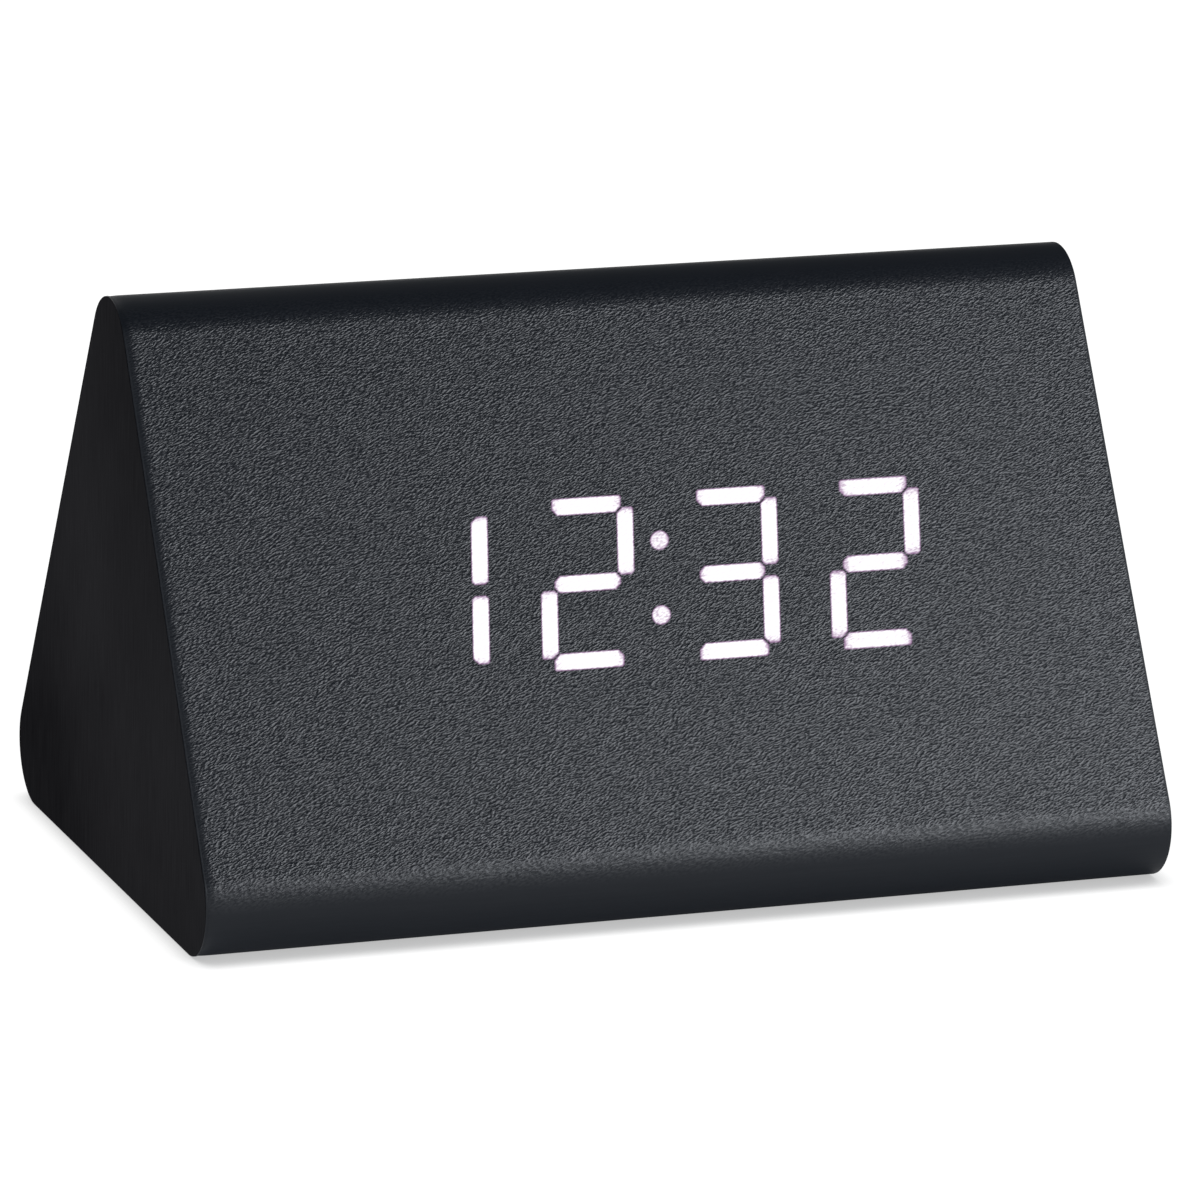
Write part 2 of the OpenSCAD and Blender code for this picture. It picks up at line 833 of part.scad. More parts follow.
// The ribbon: two straight legs in line with the connectors' slots and a round bend between them
module ribbon_cable() {
    leg_start = board_back + connector_size.z - connector_slot + slot_gap;
    start = front_point(0, ribbon_y, leg_start);
    meet_z = start.z + start.y * face_out.y / face_out.x;
    bend_z = meet_z + ribbon_bend_r / face_out.x;
    leg_l = norm([start.y, start.z - meet_z]) - ribbon_bend_r * face_out.y / face_out.x;
    color("#8d9197")
        translate([ribbon_x, 0, 0])
            along_x(ribbon_w) {
                for (s = [-1, 1])
                    translate([s * start.y, start.z])
                        rotate(s > 0 ? face_tilt - 90 : 270 - face_tilt)
                            translate([0, seam - ribbon_t / 2])
                                square([leg_l + leg_lap, ribbon_t - 2 * seam]);
                intersection() {
                    translate([0, bend_z])
                        difference() {
                            circle(ribbon_bend_r + ribbon_t / 2);
                            circle(ribbon_bend_r - ribbon_t / 2);
                        }
                    translate([0, bend_z])
                        polygon([
                            [0, 0],
                            2 * ribbon_bend_r * [-face_out.y, -face_out.x],
                            2 * ribbon_bend_r * [face_out.y, -face_out.x]
                        ]);
                }
            }
}

module rear_board()
    color(board_colour)
        on_back(0, rear_y, board_back) board(rear_w, rear_h, rear_screw_at, []);

module rear_spacers() color(nylon) on_back(0, rear_y, board_depth) spacers(rear_screw_at);

module rear_screws()
    color(steel)
        on_back(0, rear_y, board_back)
            at_corners(rear_screw_at) screw(board_t + spacer_l + bite_l);

// Buttons

// A square push switch with four feet, and a well for its plunger
module switch_housing(i)
    color(black_plastic)
        at_button(i)
            translate([0, 0, -board_depth]) {
                difference() {
                    translate([-switch_w / 2, -switch_w / 2, 0]) cube([switch_w, switch_w, switch_h]);
                    translate([0, 0, switch_h - plunger_in - button_travel - plunger_gap])
                        cylinder(d = plunger_d + 2 * plunger_gap, h = switch_h);
                }
                for (sx = [-1, 1], sy = [-1, 1])
                    translate([sx * (switch_w / 2 + 0.5), sy * switch_w / 3, 0.1])
                        cube([1.2, 0.7, 0.2], center = true);
            }

module set_switch() switch_housing(0);

module up_switch() switch_housing(1);

module down_switch() switch_housing(2);

module plunger(i)
    color(nylon)
        at_button(i)
            translate([0, 0, -switch_top - plunger_in])
                cylinder(d = plunger_d, h = plunger_in + plunger_out);

module set_plunger() plunger(0);

module up_plunger() plunger(1);

module down_plunger() plunger(2);

// A button turned about its own axis: stem, keeping flange and a slightly dished, round-edged top
module button(i) {
    stem_r = button_d / 2;
    flange_top_z = -pocket_top - flange_gap;
    color(black_plastic)
        at_button(i)
            rotate_extrude()
                difference() {
                    union() {
                        translate([0, -plunger_tip]) square([stem_r, plunger_tip + button_out - button_edge]);
                        translate([0, button_out - 2 * button_edge])
                            square([stem_r - button_edge, 2 * button_edge]);
                        translate([stem_r - button_edge, button_out - button_edge]) circle(button_edge);
                        translate([0, flange_top_z - flange_t]) square([button_flange_d / 2, flange_t]);
                    }
                    translate([0, button_out + 4 * button_d]) circle(4 * button_d + 0.15);
                    translate([-button_d, -board_depth]) square([button_d, 2 * board_depth]);
                }
}

module set_button() button(0);

module up_button() button(1);

module down_button() button(2);

// Power socket and temperature sensor

// The socket's outline, with the two lower corners cut
module socket_outline(inset) {
    x = socket_w / 2 - inset;
    y = socket_h / 2 - inset;
    c = socket_cut;
    polygon([[-x + c, -y], [x - c, -y], [x, -y + c], [x, y], [-x, y], [-x, -y + c]]);
}

module at_socket() on_back(inlet_x, rear_y, board_depth) children();

module socket_shell()
    color(nickel)
        at_socket()
            linear_extrude(socket_l)
                difference() {
                    socket_outline(0);
                    socket_outline(socket_wall);
                }

module socket_tongue()
    color(black_plastic)
        at_socket() {
            linear_extrude(tongue_base) socket_outline(socket_wall + inlay_gap);
            translate([-tongue_size.x / 2, -tongue_size.y / 2, 0]) cube(tongue_size);
        }

module socket_contacts()
    color(gold)
        at_socket()
            for (i = [0 : contact_count - 1])
                translate([
                    (i - (contact_count - 1) / 2) * contact_pitch - contact_size.x / 2,
                    tongue_size.y / 2,
                    tongue_base
                ])
                    cube(contact_size);

// A glass bead on two wires, behind a vent hole in the back
module thermistor()
    color("#2a2320")
        on_back(sensor_x, rear_y, board_depth) {
            bead_low = board_depth - sensor_depth - sensor_l;
            translate([0, 0, bead_low]) cylinder(r = sensor_r, h = sensor_l - sensor_r);
            translate([0, 0, bead_low + sensor_l - sensor_r]) sphere(sensor_r);
            for (s = [-1, 1])
                translate([s * sensor_wire_x, 0, 0]) cylinder(r = sensor_wire_r, h = bead_low + 0.5);
        }

// Battery tray and door

function cell_y(i) = (i - (cells - 1) / 2) * cell_pitch;

// An end battery's solder tab stands at its middle, or nearer the tray's middle where that is clear
function tab_y(i) = sign(cell_y(i)) * min(abs(cell_y(i)), tab_reach);

// Even batteries have their button end to -X, odd ones to +X
function button_side(i) = i % 2 == 0 ? -1 : 1;

module battery_tray()
    color(black_plastic)
        difference() {
            union() {
                translate([0, 0, ledge_z])
                    linear_extrude(tub_top - ledge_z) rounded_rect(tub_l, tub_w, tub_r);
                translate([0, 0, flange_recess])
                    linear_extrude(flange_top - flange_recess) rounded_rect(flange_l, flange_w, tub_r);
            }
            linear_extrude(ledge_z) rounded_rect(tub_l, tub_w, tub_r);
            for (i = [0 : cells - 1])
                translate([-bay_l / 2, cell_y(i), cell_z])
                    rotate([0, 90, 0]) cylinder(r = channel_r, h = bay_l);
            translate([-bay_l / 2, -bay_w / 2, 0]) cube([bay_l, bay_w, cell_z]);
            slot_t = plate_t + plate_play;
            slot_top = plate_top + plate_play;
            for (s = [-1, 1])
                translate([s * (bay_l - slot_t) / 2, 0, (ledge_z + slot_top) / 2])
                    cube([slot_t, bay_w, slot_top - ledge_z], center = true);
            for (i = [0, cells - 1])
                translate([-bay_l / 2, tab_y(i) - tab_w / 2 - plate_play, cell_z])
                    cube([plate_t + plate_play, tab_w + 2 * plate_play, tub_top]);
            at_corners(tray_screw_at) {
                cylinder(d = head_d + 2 * hole_gap, h = tray_head_seat);
                cylinder(d = shank_d + 2 * hole_gap, h = flange_top + over);
            }
            for (s = [-1, 1]) hinge_pocket(s * hinge_x);
            latch_recess();
        }

// The pocket that a hinge nose turns in, open downwards in front of its lip
module hinge_pocket(x) {
    pocket_l = hinge_l + 2 * hinge_gap;
    translate([x - pocket_l / 2, hinge_y, hinge_z])
        rotate([0, 90, 0]) cylinder(r = hinge_r + hinge_gap, h = pocket_l);
    translate([x - pocket_l / 2, tub_w / 2 - over, 0])
        cube([pocket_l, hinge_y + lip_y - tub_w / 2 + over, hinge_z + neck_high + hinge_gap]);
}

// The groove for the latch with its sill, and the scoop for a fingertip
module latch_recess() {
    groove_w = latch_w + 2 * latch_gap;
    wall_y = -bay_w / 2;
    sill_y = wall_y + latch_gap - barb_out - sill_clear;
    translate([-groove_w / 2, sill_y, 0])
        cube([groove_w, wall_y - sill_y + over, latch_top + latch_gap]);
    translate([-groove_w / 2, wall_y - latch_groove, latch_top - barb_h - latch_gap])
        cube([groove_w, latch_groove + over, barb_h + 2 * latch_gap]);
    translate([-scoop_w / 2, -tub_w / 2 - scoop_out, 0])
        cube([scoop_w, scoop_out + over, scoop_top]);
}

module tray_screws()
    color(steel)
        at_corners(tray_screw_at)
            translate([0, 0, tray_head_seat]) screw(tray_screw_end - tray_head_seat);

// The door's plate, hinge noses on their necks, spring latch with its barb, thumb tab and grip ribs
module battery_door() {
    front_y = -tub_w / 2 + door_gap;
    back_y = tub_w / 2 - hinge_side_gap;
    arm_y = -bay_w / 2 + latch_gap;
    color(black_plastic) {
        difference() {
            translate([0, (front_y + back_y) / 2, door_recess])
                linear_extrude(door_t)
                    rounded_rect(tub_l - 2 * door_gap, back_y - front_y, tub_r - door_gap);
            for (s = [-1, 1])
                translate([s * (latch_w / 2 + slit_w), front_y - over, 0])
                    translate([-slit_w / 2, 0, 0]) cube([slit_w, slit_l + over, ledge_z + over]);
        }
        for (s = [-1, 1])
            translate([s * hinge_x - hinge_l / 2, 0, 0]) {
                translate([0, hinge_y, hinge_z])
                    rotate([0, 90, 0]) cylinder(r = hinge_r, h = hinge_l);
                translate([0, back_y - over, hinge_z - neck_low])
                    cube([hinge_l, hinge_y - back_y + over, neck_low + neck_high]);
            }
        translate([-latch_w / 2, arm_y, door_recess])
            cube([latch_w, latch_t, latch_top - door_recess]);
        translate([-latch_w / 2, arm_y, latch_top])
            rotate([0, 90, 0])
                linear_extrude(latch_w)
                    polygon([[0, 0], [barb_h, 0], [barb_h, -barb_out], [barb_h * 0.6, -barb_out]]);
        translate([-thumb_w / 2, front_y - thumb_out, door_recess])
            cube([thumb_w, thumb_out + over, door_t / 2]);
        for (k = [0 : grip_ribs - 1])
            translate([-latch_w / 2 + 1, front_y + 1 + k * grip_pitch, door_recess - 0.2])
                cube([latch_w - 2, 0.6, 0.4]);
    }
}

// A battery turned about its axis: can, shoulder, button end and a hollowed flat end
module battery_cell(i) {
    side = button_side(i);
    tip_x = side * (bay_l / 2 - plate_t - dimple_t);
    r = cell_d / 2;
    c = cell_chamfer;
    can_l = cell_l - nub_l;
    color(sleeve_colour)
        translate([tip_x, cell_y(i), cell_z])
            rotate([0, -side * 90, 0])
                rotate_extrude()
                    polygon([
                        [0, 0], [nub_r, 0], [nub_r, nub_l], [r - c, nub_l], [r, nub_l + c],
                        [r, nub_l + can_l - c], [r - c, nub_l + can_l], [0, nub_l + can_l]
                    ]);
}

module battery_cell_1() battery_cell(0);

module battery_cell_2() battery_cell(1);

module battery_cell_3() if (cells > 2) battery_cell(2);

module battery_cell_4() if (cells > 3) battery_cell(3);

// Springs press on the flat ends
module contact_springs()
    color(nickel)
        for (i = [0 : cells - 1])
            translate([-button_side(i) * (bay_l / 2 - plate_t), cell_y(i), cell_z])
                rotate([0, button_side(i) * 90, 0])
                    tube(spring_points(), wire_d, wire_sides);

// A contact plate on an end wall, over one battery or two, with a dimple for each button end
module contact_plate(side, first, last) {
    inner = bay_l / 2 - plate_t;
    translate([side > 0 ? inner : -bay_l / 2, cell_y(first) - plate_w / 2, plate_low])
        cube([plate_t, cell_y(last) - cell_y(first) + plate_w, plate_top - plate_low]);
    for (i = [first : last])
        if (button_side(i) == side)
            translate([side * inner, cell_y(i), cell_z])
                rotate([0, -side * 90, 0]) cylinder(r = dimple_r, h = dimple_t);
}

// Plates that join neighbouring batteries in series
module bridge_plates()
    color(nickel)
        for (i = [0 : cells - 2])
            contact_plate(i % 2 == 0 ? 1 : -1, i, i + 1);

// An end plate with a solder tab through the top of the tray
module terminal(i)
    color(nickel) {
        contact_plate(-1, i, i);
        translate([-bay_l / 2, tab_y(i) - tab_w / 2, plate_top - over])
            cube([plate_t, tab_w, tab_top - plate_top + over]);
    }

module positive_terminal() terminal(0);

module negative_terminal() terminal(cells - 1);

function tab_end(i) = [-(bay_l - plate_t) / 2, tab_y(i), tab_top];

module positive_lead()
    color("#a8231f")
        tube(lead_points(tab_end(0), positive_pad_x, positive_pull), lead_d, lead_sides);

module negative_lead()
    color("#202124")
        tube(lead_points(tab_end(cells - 1), negative_pad_x, negative_pull), lead_d, lead_sides);

case_shell();
left_end_panel();
right_end_panel();
wrap_film();
left_end_film();
right_end_film();
lit_segments();
segment_diffusers();
light_box();
segment_leds();
display_board();
display_spacers();
display_screws();
controller_chip();
digit_transistors();
segment_resistors();
watch_crystal();
buzzer();
microphone();
coin_holder();
backup_cell();
display_connector();
ribbon_cable();
rear_connector();
rear_board();
rear_spacers();
rear_screws();
set_switch();
up_switch();
down_switch();
set_plunger();
up_plunger();
down_plunger();
set_button();
up_button();
down_button();
socket_shell();
socket_tongue();
socket_contacts();
thermistor();
battery_tray();
tray_screws();
battery_door();
battery_cell_1();
battery_cell_2();
battery_cell_3();
battery_cell_4();
contact_springs();
bridge_plates();
positive_terminal();
negative_terminal();
positive_lead();
negative_lead();
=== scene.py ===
"""Looks of a three-sided alarm clock: film-wrapped wedge, lit numerals, buttons and battery bay.

Sizes are in millimetres until a mesh is made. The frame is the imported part's own: +X to the
right of the front, -Y to the front, +Z up, and the middle of the base at the origin.
"""

import logging
import math
from dataclasses import dataclass, field
from enum import Enum
from typing import Iterable, Sequence

import bmesh
import bpy
from mathutils import Matrix, Vector


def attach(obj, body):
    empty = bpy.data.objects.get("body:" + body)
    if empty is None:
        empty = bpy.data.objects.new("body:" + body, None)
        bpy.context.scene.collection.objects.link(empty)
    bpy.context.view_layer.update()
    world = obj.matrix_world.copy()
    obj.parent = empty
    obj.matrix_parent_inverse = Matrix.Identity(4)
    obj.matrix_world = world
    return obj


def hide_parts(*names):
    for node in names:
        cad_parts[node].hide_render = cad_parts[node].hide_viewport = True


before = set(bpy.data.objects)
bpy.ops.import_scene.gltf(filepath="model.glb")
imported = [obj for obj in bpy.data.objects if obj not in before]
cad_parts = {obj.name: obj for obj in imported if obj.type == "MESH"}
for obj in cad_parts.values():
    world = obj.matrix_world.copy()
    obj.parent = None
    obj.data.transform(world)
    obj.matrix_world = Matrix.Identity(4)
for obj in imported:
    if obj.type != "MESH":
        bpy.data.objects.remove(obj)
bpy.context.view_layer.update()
log = logging.getLogger("clock")

MM = 0.001  # metres in a millimetre
PER_M = 1000.0  # millimetres in a metre
CORNERS = ((-1, -1), (-1, 1), (1, -1), (1, 1))

Point = tuple[float, float]
Triple = tuple[float, float, float]
Skin = tuple[list, list]


def linear(code: str) -> tuple[float, float, float, float]:
    """Turn an sRGB hex colour into linear light.

    Args:
        code: Colour as "#rrggbb".

    Returns:
        Linear red, green and blue, with an alpha of 1.
    """
    parts = [int(code[i:i + 2], 16) / 255 for i in (1, 3, 5)]
    red, green, blue = (p / 12.92 if p <= 0.04045 else ((p + 0.055) / 1.055) ** 2.4 for p in parts)
    return red, green, blue, 1.0


def per_mm(size: float) -> float:
    """Texture scale, in repeats per metre, of a pattern that repeats every `size` millimetres."""
    return PER_M / size


def empty_tree(owner: bpy.types.Material | bpy.types.World) -> bpy.types.NodeTree:
    """Switch on the nodes of a new material or world, and clear them.

    Args:
        owner: The material or world.

    Returns:
        Its empty node tree.
    """
    owner.use_nodes = True
    owner.node_tree.nodes.clear()
    return owner.node_tree


def add_node(tree: bpy.types.NodeTree, kind: str, inputs: dict | None = None) -> bpy.types.Node:
    """Add a shader node, set it up and link it.

    Args:
        tree: Node tree of the material or world.
        kind: Blender's name of the node type, less its "ShaderNode".
        inputs: What goes to each input, by its name or number, or to the node's own property: a
            value, a socket to link from, or a node whose first output in use is linked.

    Returns:
        The new node.
    """
    node = tree.nodes.new("ShaderNode" + kind)
    for key, value in (inputs or {}).items():
        if isinstance(value, bpy.types.Node):
            value = next(out for out in value.outputs if out.enabled)
        if isinstance(value, bpy.types.NodeSocket):
            tree.links.new(value, node.inputs[key])
        elif isinstance(key, int) or key in node.inputs:
            node.inputs[key].default_value = value
        else:
            setattr(node, key, value)
    return node


# Meshes


def piece(
    name: str, verts: Iterable[Sequence[float]], faces: Iterable[Sequence[int]], sharp_deg: float = 35.0
) -> bpy.types.Object:
    """Make a mesh object from millimetres.

    Args:
        name: Name of the piece.
        verts: Points in millimetres.
        faces: Rows of point numbers.
        sharp_deg: Edges that turn more than this stay sharp.

    Returns:
        The new object, in the scene.
    """
    mesh = bpy.data.meshes.new(name)
    mesh.from_pydata([tuple(c * MM for c in v) for v in verts], [], [tuple(f) for f in faces])
    mesh.update()
    return put_in_scene(mesh, sharp_deg)


def put_in_scene(mesh: bpy.types.Mesh, sharp_deg: float = 35.0) -> bpy.types.Object:
    """Put a mesh in the scene, smooth on its curves and flat on its flats.

    Args:
        mesh: The mesh, which gives its name to the object.
        sharp_deg: Edges that turn more than this stay sharp.

    Returns:
        The new object.
    """
    mesh.shade_smooth()
    mesh.set_sharp_from_angle(angle=math.radians(sharp_deg))
    obj = bpy.data.objects.new(mesh.name, mesh)
    bpy.context.scene.collection.objects.link(obj)
    even = obj.modifiers.new("even_normals", "WEIGHTED_NORMAL")
    even.keep_sharp = True
    return obj


def lofted(rings: Sequence[Sequence[Sequence[float]]], capped: bool = True) -> Skin:
    """Join closed rings of equal length into a skin.

    Args:
        rings: Rings of points, each in the same order.
        capped: Whether the first and last rings are filled.

    Returns:
        Points and faces.
    """
    count = len(rings[0])
    verts = [p for ring in rings for p in ring]
    faces = []
    for low in range(0, len(verts) - count, count):
        for a, b in zip(range(count), [*range(1, count), 0]):
            faces.append((low + a, low + b, low + count + b, low + count + a))
    if capped:
        faces += [tuple(reversed(range(count))), tuple(range(len(verts) - count, len(verts)))]
    return verts, faces


def laid(outline: Iterable[Point], spot: Matrix, z: float = 0.0) -> list[Vector]:
    """Take a flat outline to its place, at a height over it."""
    return [spot @ Vector((x, y, z)) for x, y in outline]


def disc(radius: float, sides: int) -> list[Point]:
    """Points of a circle, as many as it has sides."""
    turns = (2 * math.pi * k / sides for k in range(sides))
    return [(radius * math.cos(a), radius * math.sin(a)) for a in turns]


def arc(radius: float, first: float, last: float, steps: int) -> list[Point]:
    """Points along an arc about the origin, from one angle to another in degrees."""
    turns = (math.radians(first + (last - first) * k / steps) for k in range(steps + 1))
    return [(radius * math.cos(a), radius * math.sin(a)) for a in turns]


def rounded_box(length: float, width: float, radius: float) -> list[Point]:
    """Outline of a rectangle with round corners, about its middle.

    Args:
        length: Its size along X.
        width: Its size along Y.
        radius: Radius of its corners.

    Returns:
        Points, anticlockwise.
    """
    outline = []
    for sx, sy, turn in ((1, 1, 0), (-1, 1, 90), (-1, -1, 180), (1, -1, 270)):
        x, y = sx * (length / 2 - radius), sy * (width / 2 - radius)
        outline += [(x + u, y + v) for u, v in arc(radius, turn, turn + 90, 10)]
    return outline


def turned(profile: Sequence[Point], spot: Matrix, steps: int = 96) -> Skin:
    """Turn a profile about an axis, as on a lathe.

    Args:
        profile: Radius and height pairs from one end of the axis to the other.
        spot: Matrix that takes the axis, local Z, to its place.
        steps: Points round the axis.

    Returns:
        Points and faces.
    """
    return lofted([laid(disc(r, steps), spot, z) for r, z in profile])


def swept(path: Sequence[Vector], section: Sequence[Point]) -> Skin:
    """Sweep a closed section along a path without twisting it.

    Args:
        path: Points along the middle line.
        section: The section's points, across and up.

    Returns:
        Points and faces.
    """
    # A sideways start that no path runs along
    side = Vector((1.0, 0.01, 0.02))
    rings = []
    for i, point in enumerate(path):
        ahead = (path[min(i + 1, len(path) - 1)] - path[max(i - 1, 0)]).normalized()
        side = (side - ahead * side.dot(ahead)).normalized()
        up = ahead.cross(side)
        rings.append([point + side * x + up * y for x, y in section])
    return lofted(rings)


@dataclass
class Gathered:
    """Skins gathered for one mesh.

    Attributes:
        verts: Points so far.
        faces: Faces so far.
    """

    verts: list = field(default_factory=list)
    faces: list = field(default_factory=list)

    def add(self, verts: list, faces: list) -> int:
        """Add a skin.

        Args:
            verts: Its points.
            faces: Its faces.

        Returns:
            Number of its first point.
        """
        first = len(self.verts)
        self.verts += verts
        self.faces += [tuple(first + n for n in face) for face in faces]
        return first


def cut_away(obj: bpy.types.Object, cutters: Sequence[bpy.types.Object]) -> bpy.types.Object:
    """Cut holes in a piece with other meshes, which are then removed.

    Args:
        obj: Piece to cut, which is removed too.
        cutters: Closed meshes in the shape of the holes.

    Returns:
        The piece with its holes.
    """
    for cutter in cutters:
        cut = obj.modifiers.new("hole", "BOOLEAN")
        cut.operation = "DIFFERENCE"
        cut.solver = "EXACT"
        cut.object = cutter
    bpy.context.view_layer.update()
    whole = bpy.data.meshes.new_from_object(obj.evaluated_get(bpy.context.evaluated_depsgraph_get()))
    name = obj.name
    for used in (obj, *cutters):
        bpy.data.objects.remove(used)
    whole.name = name
    return put_in_scene(whole)


def softened(node: str, name: str, width: float) -> bpy.types.Object:
    """Copy a CAD node's mesh and give its hard edges the small radius that a mould leaves.

    Args:
        node: Name of the CAD node.
        name: Name of the new piece.
        width: Radius of the edges.

    Returns:
        The new piece.
    """
    weld, flat_deg, hard_deg, sharp_deg = 0.002 * MM, 0.5, 32, 50.0
    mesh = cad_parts[node].data.copy()
    mesh.name = name
    work = bmesh.new()
    work.from_mesh(mesh)
    bmesh.ops.remove_doubles(work, verts=work.verts, dist=weld)
    bmesh.ops.dissolve_limit(
        work, angle_limit=math.radians(flat_deg), verts=work.verts, edges=work.edges,
        use_dissolve_boundaries=False,
    )
    hard = [e for e in work.edges if e.is_manifold and e.calc_face_angle(0.0) > math.radians(hard_deg)]
    bmesh.ops.bevel(
        work, geom=hard, offset=width * MM, offset_type="OFFSET", segments=2, profile=0.5,
        affect="EDGES", clamp_overlap=True,
    )
    work.to_mesh(mesh)
    work.free()
    mesh.materials.clear()
    return put_in_scene(mesh, sharp_deg)


# Finishes


class Grain(Enum):
    """How the fine surface of a finish came about, as its stretch along X, Y and Z."""

    MOULDED = (1.0, 1.0, 1.0)
    DRAWN_X = (0.06, 1.0, 1.0)
    DRAWN_Z = (1.0, 1.0, 0.05)
    FIBRES = (0.35, 1.0, 1.0)


@dataclass(frozen=True)
class Surface:
    """A material, named for what it is and how its surface was made.

    Attributes:
        name: That name.
    """

    name: str

    def material(self) -> bpy.types.Material:
        """Make the material, or return it if it is there already.

        Returns:
            The material with its nodes.
        """
        made = bpy.data.materials.get(self.name)
        if not made:
            made = bpy.data.materials.new(self.name)
            tree = empty_tree(made)
            add_node(tree, "OutputMaterial", {"Surface": self.shader(tree)})
        return made

    def shader(self, tree: bpy.types.NodeTree) -> bpy.types.Node:
        """Lay out the look in an empty node tree; each kind of surface has its own."""
        raise NotImplementedError


@dataclass(frozen=True)
class Finish(Surface):
    """A plain material: its two tones, its gloss and its fine surface.

    Attributes:
        tone: Main colour.
        shade: Colour of the clouds and hollows in it.
        roughness: Least and greatest roughness.
        grain: Direction of the fine surface.
        grain_mm: Size of the fine surface's marks.
        relief_mm: Height of the fine surface.
        cloud_mm: Size of the clouds of colour.
        metallic: 1 for a bare metal.
        level: Specular level.
        coat: Weight of a clear coat.
        clear: Weight of light that passes through.
    """

    tone: str
    shade: str
    roughness: Point
    grain: Grain = Grain.MOULDED
    grain_mm: float = 0.3
    relief_mm: float = 0.004
    cloud_mm: float = 6.0
    metallic: float = 0.0
    level: float = 0.5
    coat: float = 0.0
    clear: float = 0.0

    def shader(self, tree: bpy.types.NodeTree) -> bpy.types.Node:
        """Lay out the look: clouds and marks in the colour, and marks in the gloss and relief.

        Args:
            tree: The material's empty node tree.

        Returns:
            The shader.
        """
        where = add_node(tree, "TexCoord").outputs["Object"]
        drawn = add_node(tree, "Mapping", {"Scale": self.grain.value, "Vector": where})
        cloud = add_node(tree, "TexNoise", {"Scale": per_mm(self.cloud_mm), "Detail": 3.0, "Vector": where})
        marks = add_node(tree, "TexNoise", {"Scale": per_mm(self.grain_mm), "Detail": 4.0, "Vector": drawn})
        both = add_node(tree, "Math", {"operation": "MULTIPLY_ADD", 0: marks, 1: 0.5, 2: cloud})
        share = add_node(tree, "MapRange", {"From Min": 0.45, "From Max": 1.05, "Value": both})
        tones = {6: linear(self.tone), 7: linear(self.shade)}
        colour = add_node(tree, "Mix", {"data_type": "RGBA", 0: share, **tones})
        low, high = self.roughness
        gloss = add_node(tree, "MapRange", {
            "From Min": 0.3, "From Max": 0.7, "To Min": low, "To Max": high, "Value": marks,
        })
        bump = add_node(tree, "Bump", {"Distance": self.relief_mm * MM, "Height": marks})
        return add_node(tree, "BsdfPrincipled", {
            "Metallic": self.metallic, "Specular IOR Level": self.level, "Coat Weight": self.coat,
            "Transmission Weight": self.clear, "Base Color": colour, "Roughness": gloss, "Normal": bump,
        })


